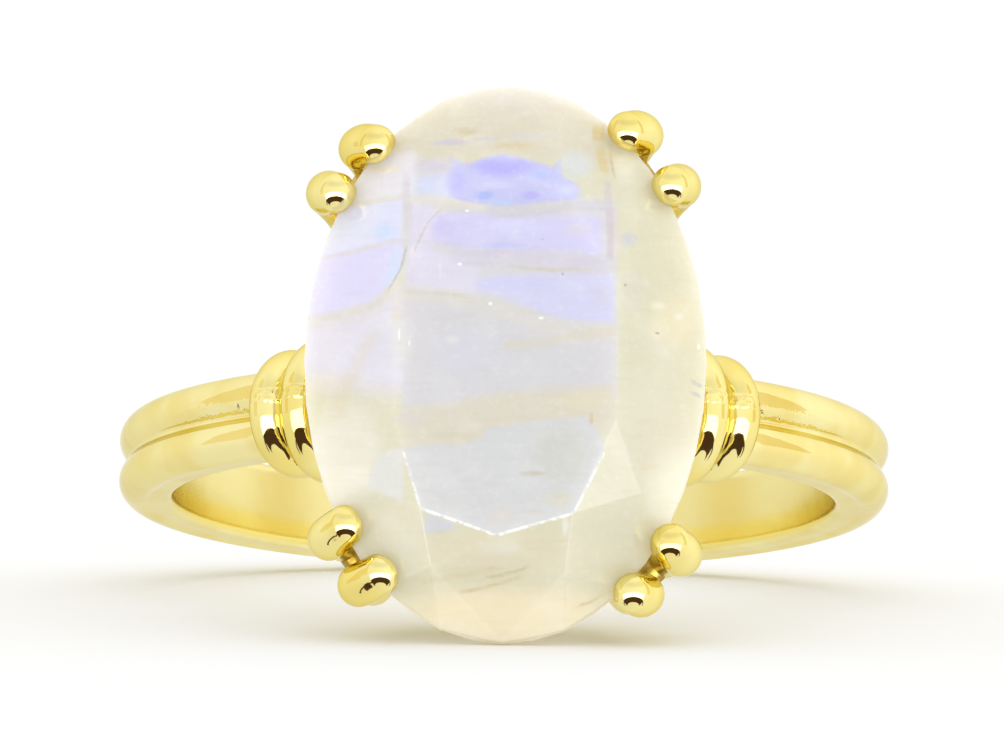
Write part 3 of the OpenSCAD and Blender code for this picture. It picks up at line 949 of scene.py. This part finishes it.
    def wavy(self, tree: Tree, plane: Node) -> Node:
        """The plane pushed about by noise, up to the ripple's reach either way.

        Args:
            tree: the node tree.
            plane: the place of a shading point on the plane of the sheets.

        Returns:
            The node that gives the place to which it is pushed.
        """
        noise = add(tree, "TexNoise", {"Vector": plane, "Scale": 1 / self.ripple_grain_mm, "Detail": 3.0})
        centred = add(tree, "VectorMath", (noise.outputs["Color"], (0.5,) * 3), operation="SUBTRACT")
        return add(tree, "VectorMath", (centred, (self.ripple_mm * 2,) * 3, plane), operation="MULTIPLY_ADD")

    def girdle(self, tree: Tree) -> Node:
        """How much a place belongs to the girdle: full near its middle height, and nothing past its edges.

        Args:
            tree: the node tree.

        Returns:
            The node that gives the share, from 0 to 1.
        """
        height = add(tree, "VectorMath", (from_hole(tree), RING.outward), operation="DOT_PRODUCT")
        off = add(tree, "Math", (height, GIRDLE_Z_MM), operation="SUBTRACT")
        away = add(tree, "Math", (off,), operation="ABSOLUTE")
        return add(tree, "MapRange", (away, *self.girdle_mm, 1, 0), **SMOOTH)

    def colour(self, tree: Tree, plane: Node, girdle: Node) -> Node:
        """The body's tone with everything that shows in the stone laid over it.

        Args:
            tree: the node tree.
            plane: the place of a shading point on the plane of the sheets.
            girdle: how much it belongs to the girdle.

        Returns:
            The node that gives the colour.
        """
        u, v = add(tree, "SeparateXYZ", (self.wavy(tree, plane),)).outputs[:2]
        steady = add(tree, "SeparateXYZ", (plane,)).outputs[:2]
        stretch = add(tree, "Mapping", {"Vector": plane, "Scale": (*(1 / mm for mm in self.fibre_mm), 1)})
        grains = ((plane, 1 / self.cloud_mm, 5.0), (plane, 1 / self.mottle_mm, 6.0), (stretch, 1.0, 4.0))
        cloud, mottle, fibre = (
            add(tree, "TexNoise", {"Vector": place, "Scale": scale, "Detail": detail})
            for place, scale, detail in grains
        )
        half = add(tree, "Math", (cloud, 0.5), operation="MULTIPLY")
        mean = add(tree, "Math", (fibre, 0.5, half), operation="MULTIPLY_ADD")
        patchy = add(tree, "MapRange", (mean, *self.patchy_share), **SMOOTH)
        layers = [(sheet.tone, sheet.mask(tree, u, v)) for sheet in (*self.fields, *self.flash)]
        for stain in (*self.stains, *self.veils):
            share = add(tree, "Math", (stain.mask(tree, u, v), patchy), operation="MULTIPLY")
            layers.append((stain.tone, share))
        for noise, step in ((cloud, self.cloud_share), (mottle, self.mottle_share)):
            layers.append((WHITE, add(tree, "MapRange", (noise, *step), **SMOOTH)))
        under = coats(tree, linear(self.body), layers)
        threads = add(tree, "MapRange", (fibre, *self.fibre_share), **SMOOTH)
        under = coats(tree, under, [(self.fibre_tone, threads)], Mode.TINT)
        layers = [(speck.tone, speck.mask(tree, *steady)) for speck in self.specks]
        # Painted glints on the table's edges
        glitter = add(tree, "MapRange", (mottle, *self.glitter_share), **SMOOTH)
        for edge in self.table_edge_glints:
            share = add(tree, "Math", (edge.mask(tree, *steady), glitter), operation="MULTIPLY")
            layers.append((edge.tone, share))
        layers.append((self.girdle_tone, add(tree, "Math", (girdle, self.girdle_cover), operation="MULTIPLY")))
        return coats(tree, under, layers)

    def material(self) -> Material:
        """The finish as a material.

        Returns:
            The material.
        """
        material, tree, shader = shader_tree("polished_rainbow_moonstone")
        plane, girdle = self.plane(tree), self.girdle(tree)
        colour = self.colour(tree, plane, girdle)
        up = add(tree, "SeparateXYZ", (plane,)).outputs[1]
        ground = (girdle, self.girdle_roughness - self.roughness, self.roughness)
        gloss = (girdle, -self.specular, self.specular)
        feed(tree, shader, {
            # The base colour is dimmed and the same colour is given off as a painted glow, more at the thin lower
            # end
            "Base Color": coats(tree, colour, [(self.glow_dimmed_base, 1.0)], Mode.TINT),
            "Emission Color": colour,
            "Emission Strength": add(tree, "MapRange", (up, *self.thin_end_mm, *self.through), **SMOOTH),
            "Roughness": add(tree, "Math", ground, operation="MULTIPLY_ADD"),
            "Specular IOR Level": add(tree, "Math", gloss, operation="MULTIPLY_ADD"),
            "IOR": self.refractive_index,
            "Subsurface Weight": self.glow,
            "Subsurface Radius": self.glow_tint,
            "Subsurface Scale": self.glow_mm * MM,
        })
        return material


@dataclass(frozen=True)
class MattePaper:
    """White seamless paper, uncoated, under the ring: an even pale ground with no gloss."""

    tone: str = "#FCFCFB"

    def material(self) -> Material:
        """The finish as a material.

        Returns:
            The material.
        """
        material, tree, shader = shader_tree("white_seamless_paper")
        feed(tree, shader, {"Base Color": linear(self.tone), "Roughness": 1.0, "Specular IOR Level": 0.0})
        return material


@dataclass(frozen=True)
class Shank:
    """The hoop: two round ribs with a groove between them, on a band that is smooth inside."""

    gold: Material
    outer_r: float = 10.11
    rib_r: float = 0.57
    rib_pitch: float = 1.08
    band_w: float = 2.14
    edge_r: float = 0.25
    fillet_r: float = 0.12
    crease_deg: float = 50
    steps_round: int = 320
    steps_fillet: int = 7
    steps_rib: int = 44
    steps_wall: int = 8
    steps_edge: int = 10
    steps_bore: int = 13

    @property
    def rib_axis_r(self) -> float:
        """The ring radius of the middle of each rib."""
        return self.outer_r - self.rib_r

    def section(self) -> np.ndarray:
        """The closed section as (ring radius, place along the finger).

        Half of it is a chain of arcs and straight lines: the hollow fillet in the groove, the rib out to the side
        of the band, that side, the rounded edge of the hole and the hole's wall. The other half is its mirror
        image.

        Returns:
            One row for each point.
        """
        half, pitch = self.band_w / 2, self.rib_pitch / 2
        reach = self.rib_r + self.fillet_r
        hollow_r = self.rib_axis_r + math.sqrt(reach**2 - pitch**2)
        meet_deg = math.degrees(math.asin(pitch / reach))
        flank_deg = 180 - math.degrees(math.asin((half - pitch) / self.rib_r))
        flank_r = self.rib_axis_r + self.rib_r * math.cos(math.radians(flank_deg))
        edge_r, edge_y = RING.hole_r + self.edge_r, half - self.edge_r
        upper = np.vstack([
            arc((hollow_r, 0), self.fillet_r, 180, 180 - meet_deg, self.steps_fillet),
            arc((self.rib_axis_r, pitch), self.rib_r, -meet_deg, flank_deg, self.steps_rib)[1:],
            np.linspace((flank_r, half), (edge_r, half), self.steps_wall)[1:-1],
            arc((edge_r, edge_y), self.edge_r, 90, 180, self.steps_edge),
            np.linspace((RING.hole_r, edge_y), (RING.hole_r, 0), self.steps_bore)[1:],
        ])
        return np.vstack([upper, (upper * (1, -1))[-2:0:-1]])

    def make(self) -> Piece:
        """The hoop's surface: the section turned about the finger axis.

        Returns:
            The piece.
        """
        section = self.section()
        angle = np.linspace(0, 2 * math.pi, self.steps_round, endpoint=False)[:, None]
        r, y = section[None, :, 0], section[None, :, 1]
        rings = np.stack([r * np.sin(angle), y + 0 * angle, r * np.cos(angle)], axis=-1)
        return metal("shank", rings, True, self.gold, self.crease_deg)


@dataclass(frozen=True)
class Collars:
    """Two round collars side by side, wrapped about the shank on each shoulder and opened for the finger."""

    gold: Material
    centre_r: float = 9.3
    tube_r: float = 0.56
    barrel_r: float = 30.0
    barrel_gap: float = 0.1
    crease_deg: float = 35
    steps_round: int = 180
    steps_tube: int = 60

    # The place of each collar, in degrees from the stone, and the radius of its ring
    outer: Point = (34.8, 1.08)
    inner: Point = (28.9, 1.3)

    def collar(self, side: Side, place_deg: float, ring_r: float) -> np.ndarray:
        """One collar: a torus about the shank, pushed out where it would reach into the finger hole.

        The hole's wall is a barrel: its radius is widest in the middle and falls as an arc along the finger.

        Args:
            side: the shoulder that it stands on.
            place_deg: its place round the hoop, in degrees from the stone.
            ring_r: the radius of its ring about the shank.

        Returns:
            An array of rings, points and coordinates.
        """
        turn = side.value * math.radians(place_deg)
        u = np.linspace(0, 2 * math.pi, self.steps_round, endpoint=False)[:, None]
        v = np.linspace(0, 2 * math.pi, self.steps_tube, endpoint=False)[None, :]
        wide = ring_r + self.tube_r * np.cos(v)
        along, y, up = self.tube_r * np.sin(v) + 0 * u, wide * np.sin(u), self.centre_r + wide * np.cos(u)
        x = along * math.cos(turn) + up * math.sin(turn)
        z = up * math.cos(turn) - along * math.sin(turn)
        wall = RING.hole_r + self.barrel_gap - self.barrel_r + np.sqrt(self.barrel_r**2 - y**2)
        push = np.maximum(wall / np.hypot(x, z), 1)
        return np.stack([x * push, y, z * push], axis=-1)

    def make(self) -> list[Piece]:
        """All four collars.

        Returns:
            The pieces.
        """
        return [
            metal(f"collar_{side.name.lower()}_{name}", self.collar(side, *place), True, self.gold, self.crease_deg)
            for side in Side
            for name, place in {"outer": self.outer, "inner": self.inner}.items()
        ]


@dataclass(frozen=True)
class Girdle:
    """The widest oval of the stone, which the claws and rails are placed about."""

    length: float = 13.9
    width: float = 9.9
    z: float = GIRDLE_Z_MM
    thickness: float = 0.4

    def oval(self, deg: float | np.ndarray, length: float, width: float, z: float) -> np.ndarray:
        """Points of an oval: half the width times the cosine, and half the length times the sine."""
        angle = np.radians(deg)
        return np.stack([width / 2 * np.cos(angle), length / 2 * np.sin(angle), z + 0 * angle], axis=-1)

    def outward(self, deg: float) -> np.ndarray:
        """The direction that points straight out of the girdle at a place round it."""
        angle = math.radians(deg)
        return unit(np.array([math.cos(angle) / self.width, math.sin(angle) / self.length, 0.0]))

    def beside(self, deg: float, out: float, up: float) -> np.ndarray:
        """A point a distance outside the girdle and a height above its middle."""
        return self.oval(deg, self.length, self.width, self.z + up) + out * self.outward(deg)


@dataclass(frozen=True)
class Claw:
    """One claw: a bead leaning over the edge of the stone, a shoulder beside it and a stem to the base rail.

    Its base is the length, width and height of that rail. Its bead and its stem have places round the girdle in
    degrees, and its bead and its shoulder stand some way outside the girdle in millimetres.
    """

    girdle: Girdle
    base: tuple[float, float, float]
    bead_deg: float
    stem_deg: float
    bead_out: float
    shoulder_out: float
    gap: float = 0.04
    crown_slope: float = 1.05
    pavilion_slope: float = 0.8
    bead_up: float = 0.45
    brow_out: float = 0.06
    steps_dense: int = 1200
    steps_along: int = 120
    steps_tip: int = 7
    steps_cap: int = 24
    steps_round: int = 56

    # The stem from its knee up to the shoulder: how far inside the shoulder, and how high over the girdle
    stem: tuple[Point, ...] = ((0.5, -2.4), (0.26, -1.4), (0.05, -0.65), (0.0, -0.25))

    # Half the width and half the depth of the wire, from the foot to the bead
    half_width: tuple[float, ...] = (0.41, 0.42, 0.44, 0.45, 0.49, 0.54, 0.54, 0.51)
    half_depth: tuple[float, ...] = (0.41, 0.42, 0.44, 0.45, 0.49, 0.53, 0.53, 0.50)

    def keys(self) -> np.ndarray:
        """The path of the claw, from the foot on the base rail to the bead.

        Returns:
            Rows of x, y, z, half width and half depth.
        """
        foot = self.girdle.oval(self.stem_deg, *self.base)
        stem = [self.girdle.beside(self.stem_deg, self.shoulder_out - inside, up) for inside, up in self.stem]
        bead = self.girdle.beside(self.bead_deg, self.bead_out, self.bead_up)
        brow = (stem[-1] + bead) / 2 + self.brow_out * self.girdle.outward(self.bead_deg)
        places = [foot, (foot + stem[0]) / 2, *stem, brow, bead]
        return np.column_stack([places, self.half_width, self.half_depth])

    def seat(self, points: np.ndarray) -> np.ndarray:
        """Pushes points straight out of the wedge that the edge of the stone fills.

        The wedge's face stands the gap outside the girdle, and runs in over the crown and under the pavilion
        at their slopes.

        Args:
            points: an array whose last axis holds the coordinates.

        Returns:
            The same array with the points inside the wedge moved to its face.
        """
        out = self.girdle.outward(self.bead_deg)
        away = (points - self.girdle.beside(self.bead_deg, 0, 0)) @ out
        up = points[..., 2] - self.girdle.z
        edge = self.girdle.thickness / 2
        over = (up - edge - self.gap) / self.crown_slope
        under = (-up - edge - self.gap) / self.pavilion_slope
        face = self.gap - np.maximum(0, np.maximum(over, under))
        return points + np.maximum(0, face - away)[..., None] * out

    def surface(self) -> np.ndarray:
        """The claw's rings: an oval section along the smooth path, closed by a round cap over the bead.

        The path's points are spread evenly over its length, and the cap's rings shrink with the cosine while
        they move ahead with the sine.

        Returns:
            An array of rings, points and coordinates.
        """
        dense = curve(self.keys(), self.steps_dense)
        reach = np.concatenate([[0], np.cumsum(np.linalg.norm(np.diff(dense[:, :3], axis=0), axis=1))])
        even = np.linspace(0, reach[-1] - TINY_MM, self.steps_along)
        path = np.stack([np.interp(even, reach, column) for column in dense.T], axis=1)
        tip, half = dense[-1, :3], dense[-1, 3:]
        ahead = unit(tip - dense[-1 - self.steps_tip, :3])
        turn = np.linspace(0, math.pi / 2, self.steps_cap + 2)[1:-1, None]
        cap = np.concatenate([tip + half[1] * np.sin(turn) * ahead, np.cos(turn) * half], axis=1)
        rows = np.vstack([path, cap])
        side = np.cross(self.girdle.outward(self.bead_deg), UP)
        return self.seat(tube(rows[:, :3], side, rows[:, 3], rows[:, 4], self.steps_round))


@dataclass(frozen=True)
class Corner:
    """One corner of the stone, with its claw towards the side and its claw towards the end.

    Each claw has its place round the girdle in degrees, and how far outside it its bead and its shoulder stand.
    """

    side: Side
    end: End
    side_claw: tuple[float, float, float]
    end_claw: tuple[float, float, float]

    @property
    def name(self) -> str:
        """The corner's name, such as upper_left."""
        return f"{self.end.name.lower()}_{self.side.name.lower()}"

    def place(self, deg: float) -> float:
        """A place of the first quarter of the oval, in this corner's quarter."""
        angle = math.radians(deg)
        return math.degrees(math.atan2(self.end.value * math.sin(angle), self.side.value * math.cos(angle)))


@dataclass(frozen=True)
class Setting:
    """The claws in pairs at the four corners of the stone, their bridges, and the two rails under them."""

    gold: Material
    rough_gold: Material
    girdle: Girdle
    corners: tuple[Corner, ...] = (
        Corner(Side.LEFT, End.UPPER, (35.6, 0.23, 0.49), (49.8, 0.10, 0.44)),
        Corner(Side.RIGHT, End.UPPER, (38.6, 0.21, 0.45), (54.9, 0.14, 0.45)),
        Corner(Side.LEFT, End.LOWER, (37.2, -0.10, 0.38), (51.4, -0.14, 0.39)),
        Corner(Side.RIGHT, End.LOWER, (39.0, 0.29, 0.60), (52.9, 0.30, 0.43)),
    )
    splay_deg: float = 2.0
    claw_crease_deg: float = 60

    # Each rail's length, width and height in the ring
    upper_rail: tuple[float, float, float] = (11.4, 8.6, 11.8)
    base_rail: tuple[float, float, float] = (9.6, 7.0, 9.8)
    upper_wire_r: float = 0.36
    base_wire_r: float = 0.48
    steps_rail: int = 200
    steps_wire: int = 40

    # The bridges: their wire, how far under the girdle and inside the shoulders they end, and how they widen
    bridge_r: float = 0.33
    bridge_drop: float = 2.0
    bridge_in: float = 0.4
    bridge_flare: float = 0.1
    steps_bridge: int = 30
    steps_bar: int = 32
    crease_deg: float = 50

    def rail(self, name: str, size: tuple[float, float, float], wire_r: float) -> Piece:
        """An oval rail of round wire: a circle carried round the oval.

        Args:
            name: the piece's name.
            size: its length, its width and its height in the ring.
            wire_r: the radius of its wire.

        Returns:
            The piece.
        """
        path = self.girdle.oval(np.linspace(0, 360, self.steps_rail, endpoint=False), *size)
        ahead = np.roll(path, -1, axis=0) - np.roll(path, 1, axis=0)
        flank = unit(np.cross(ahead, UP))
        angle = np.linspace(0, 2 * math.pi, self.steps_wire, endpoint=False)[None, :, None]
        rings = path[:, None] + wire_r * (np.cos(angle) * flank[:, None] + np.sin(angle) * UP)
        return metal(name, rings, True, self.gold, self.crease_deg)

    def bridge(self, name: str, start: np.ndarray, stop: np.ndarray) -> Piece:
        """A short bar between two stems, flared into each with the fourth power of the way from its middle.

        Args:
            name: the piece's name.
            start: where it leaves one stem.
            stop: where it enters the other.

        Returns:
            The piece.
        """
        t = np.linspace(0, 1, self.steps_bridge)[:, None]
        radius = self.bridge_r + self.bridge_flare * np.abs(2 * t[:, 0] - 1) ** 4
        rings = tube(start + t * (stop - start), UP, radius, radius, self.steps_bar)
        return metal(name, rings, False, self.rough_gold, self.crease_deg)

    def pair(self, corner: Corner) -> list[Piece]:
        """The two claws of a corner and the bridge between their stems.

        Args:
            corner: the corner.

        Returns:
            The three pieces.
        """
        made, ends = [], []
        for which, place, splay_deg in (("side", corner.side_claw, 0.0), ("end", corner.end_claw, self.splay_deg)):
            deg, bead_out, shoulder_out = place
            bead_deg, stem_deg = corner.place(deg), corner.place(deg - splay_deg)
            claw = Claw(self.girdle, self.base_rail, bead_deg, stem_deg, bead_out, shoulder_out)
            name = f"claw_{corner.name}_{which}"
            made.append(metal(name, claw.surface(), False, self.gold, self.claw_crease_deg))
            ends.append(self.girdle.beside(stem_deg, shoulder_out - self.bridge_in, -self.bridge_drop))
        return [*made, self.bridge(f"bridge_{corner.name}", *ends)]

    def make(self) -> list[Piece]:
        """Every claw, bridge and rail.

        Returns:
            The pieces.
        """
        made = [
            self.rail("gallery_rail", self.upper_rail, self.upper_wire_r),
            self.rail("base_rail", self.base_rail, self.base_wire_r),
        ]
        for corner in self.corners:
            made += self.pair(corner)
        return made


@dataclass(frozen=True)
class Stone:
    """The cut stone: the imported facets, merged into flat faces, with every edge polished round."""

    finish: Material
    edge_mm: float = 0.035
    edge_steps: int = 3
    edge_deg: float = 4
    flat_deg: float = 0.3
    packed_shading: tuple[str, ...] = ("custom_normal", "sharp_face", "sharp_edge")

    def make(self) -> Piece:
        """The stone, without the shading that its packed facets had.

        Returns:
            The piece.
        """
        mesh = bpy.data.meshes.new("cut_moonstone")
        facets = bmesh.new()
        facets.from_mesh(frame["nodes"]["moonstone"].data)
        bmesh.ops.remove_doubles(facets, verts=facets.verts, dist=TINY_MM * MM)
        flat = math.radians(self.flat_deg)
        bmesh.ops.dissolve_limit(facets, angle_limit=flat, verts=facets.verts, edges=facets.edges)
        facets.to_mesh(mesh)
        facets.free()
        mesh.materials.clear()
        mesh.materials.append(self.finish)
        for name in [a.name for a in mesh.attributes if a.name in self.packed_shading]:
            mesh.attributes.remove(mesh.attributes[name])
        mesh.shade_smooth()
        stone = show("cut_moonstone", mesh)
        bevel = stone.modifiers.new("polished_edges", "BEVEL")
        bevel.width = self.edge_mm * MM
        bevel.segments = self.edge_steps
        bevel.limit_method = "ANGLE"
        bevel.angle_limit = math.radians(self.edge_deg)
        bevel.harden_normals = True
        return fit(stone, "moonstone")


def backdrop(name: str, points: np.ndarray, faces: list[list[int]], material: Material) -> Piece:
    """A part of the studio, which is stage and no part of the ring.

    Args:
        name: its name.
        points: its points in metres, as a grid of rows, points and coordinates.
        faces: its faces, as lists of places in the points, counted row by row.
        material: its material.

    Returns:
        The new object.
    """
    mesh = bpy.data.meshes.new(name)
    mesh.from_pydata(points.reshape(-1, 3).tolist(), [], faces)
    mesh.materials.append(material)
    made = show(name, mesh)
    return made


@dataclass(frozen=True)
class Card:
    """A card of the light tent: a patch of a sphere about the ring, seen only in its reflections."""

    name: str
    left_deg: float
    right_deg: float
    low_deg: float
    high_deg: float
    radiance: float
    tone: str = WHITE
    distance_m: float = 0.6
    droop_deg: float = 0.0
    steps_across: int = 48
    steps_down: int = 12

    def make(self) -> Piece:
        """The card: each point is the distance times the direction of its bearing and elevation.

        Away from the middle bearing the card droops with the square of the way out to its ends.

        Returns:
            The card, hidden from all but reflections.
        """
        share = np.linspace(-1, 1, self.steps_across)[:, None]
        depth = np.linspace(0, 1, self.steps_down)[None, :]
        bearing = np.radians((self.left_deg + self.right_deg) / 2 + share * (self.right_deg - self.left_deg) / 2)
        height = np.radians(self.high_deg - (self.high_deg - self.low_deg) * depth - self.droop_deg * share**2)
        flat = np.cos(height)
        way = np.stack([np.sin(bearing) * flat, -np.cos(bearing) * flat, np.sin(height)], axis=-1)
        quads = grid_faces(self.steps_across, self.steps_down, False, False)[:, [0, 3, 2, 1]]
        material = bpy.data.materials.new(self.name)
        material.use_nodes = True
        tree = material.node_tree
        tree.nodes.clear()
        light = add(tree, "Emission", {"Color": linear(self.tone), "Strength": self.radiance})
        add(tree, "OutputMaterial", {"Surface": light})
        made = backdrop(self.name, self.distance_m * way, quads.tolist(), material)
        made.visible_camera = made.visible_diffuse = made.visible_shadow = made.visible_transmission = False
        return made


@dataclass(frozen=True)
class Studio:
    """A pale floor, a white light tent with a bright front slot, and the camera."""

    paper: Material
    floor_rings_m: tuple[float, ...] = (0.0005, 0.02, 0.05, 0.1, 0.3, 1.0, 3.0)
    steps_round: int = 96

    # The camera: its lean and roll off the ring's axes, its place in millimetres, and its lens in the photograph
    lean_deg: float = 10.494
    roll_deg: float = 0.724
    place_mm: tuple[float, float, float] = (-0.084, 2.628, 230.0)
    focal_px: float = 8742.7
    sight_m: Point = (0.01, 20.0)

    # The tent's brightness in each direction, as smooth steps of its height and of its way right and back
    high: Step = (-0.9, 0.4, 0.88, 1.03)
    right: Step = (-0.9, 0.9, 1.0, 1.12)
    panel_front: Step = (-0.5, 0.3, 1.0, 0.0)
    panel_foot: Step = (0.45, 0.75, 0.0, 1.0)
    panel_top: Step = (0.85, 1.0, 1.0, 0.0)
    panel_dimming: float = 0.16
    cards: tuple[Card, ...] = (
        Card("front_softbox", -62, 61, -15, 9, 3.2, droop_deg=13),
        Card("front_gap", -66, 62, -45, -14.5, 1.0, "#49362B", 0.55, 18),
        Card("front_gap_legs", -86, 86, -21, -14, 1.0, "#5A4632", 0.56, 38),
        Card("left_panel", -101, -80, -4, 50, 0.93, "#FFF3CC"),
        Card("right_panel", 80, 101, -4, 50, 0.96, "#FFF3CC"),
    )

    def floor(self) -> Piece:
        """A wide disc, a grid of rings: each point is a radius times the direction of its bearing.

        Returns:
            The floor, which doesn't show in reflections.
        """
        radius = np.array(self.floor_rings_m)[:, None]
        bearing = np.linspace(0, 2 * math.pi, self.steps_round, endpoint=False)[None, :]
        rings = np.stack([radius * np.cos(bearing), radius * np.sin(bearing), 0 * radius * bearing], axis=-1)
        quads = grid_faces(len(self.floor_rings_m), self.steps_round, False, True)[:, [0, 3, 2, 1]]
        middle = list(range(self.steps_round))
        made = backdrop("paper_floor", rings, [*quads.tolist(), middle], self.paper)
        made.visible_glossy = False
        return made

    def sky(self) -> None:
        """The tent: white above, a little dimmer towards the floor and in a panel over the softbox."""
        world = bpy.data.worlds.new("light_tent")
        world.use_nodes = True
        tree = world.node_tree
        tree.nodes.clear()
        way = add(tree, "TexCoord", ()).outputs["Generated"]
        right, back, height = add(tree, "SeparateXYZ", (way,)).outputs
        steps = ((height, self.high), (right, self.right), (back, self.panel_front),
                 (height, self.panel_foot), (height, self.panel_top))
        lift, side, front, foot, top = (add(tree, "MapRange", (value, *step), **SMOOTH) for value, step in steps)
        panel = add(tree, "Math", (foot, top), operation="MULTIPLY")
        panel = add(tree, "Math", (front, panel), operation="MULTIPLY")
        dimming = add(tree, "Math", (panel, -self.panel_dimming, 1.0), operation="MULTIPLY_ADD")
        strength = add(tree, "Math", (lift, side), operation="MULTIPLY")
        strength = add(tree, "Math", (strength, dimming), operation="MULTIPLY")
        light = add(tree, "Background", {"Color": linear(WHITE), "Strength": strength})
        add(tree, "OutputWorld", {"Surface": light})
        bpy.context.scene.world = world

    def camera(self) -> Piece:
        """The camera, leant off the stone's own axis towards its lower end as in the photograph.

        Returns:
            The camera's object.
        """
        eye = leant(self.lean_deg, 0).transposed() @ Vector(self.place_mm)
        axes = leant(self.lean_deg, self.roll_deg).transposed()
        lens = bpy.data.cameras.new("camera")
        lens.sensor_fit = "HORIZONTAL"
        lens.sensor_width = SENSOR_MM
        lens.lens = self.focal_px / PHOTO_WIDTH_PX * SENSOR_MM
        lens.clip_start, lens.clip_end = self.sight_m
        made = show("camera", lens)
        made.matrix_world = Matrix.Translation(RING.spot(*eye)) @ (RING.turn() @ axes).to_4x4()
        bpy.context.scene.camera = made
        return made

    def make(self) -> None:
        """The whole studio."""
        self.floor()
        self.sky()
        for card in self.cards:
            card.make()
        self.camera()
        bpy.context.scene.view_settings.view_transform = "Standard"


def main() -> None:
    """Builds the ring and the studio in order."""
    logging.basicConfig(level=logging.INFO, format="%(name)s: %(message)s")
    gold = GoldPlate().material()
    Studio(MattePaper().material()).make()
    Shank(GoldPlate(name="hoop_gold_plate", pale="#F9EDAB", deep="#F4E293", edge="#EAE5CC").material()).make()
    Collars(GoldPlate(name="cast_gold_plate", wobble_mm=0.6, wobble_depth=0.03).material()).make()
    unpolished = GoldPlate(
        name="unpolished_gold_plate", pale="#D9C06A", deep="#A98A3C", cloud_mm=0.25, roughness=0.3,
    )
    Setting(gold, unpolished.material(), Girdle()).make()
    Stone(Moonstone().material()).make()


if __name__ == "__main__":
    main()
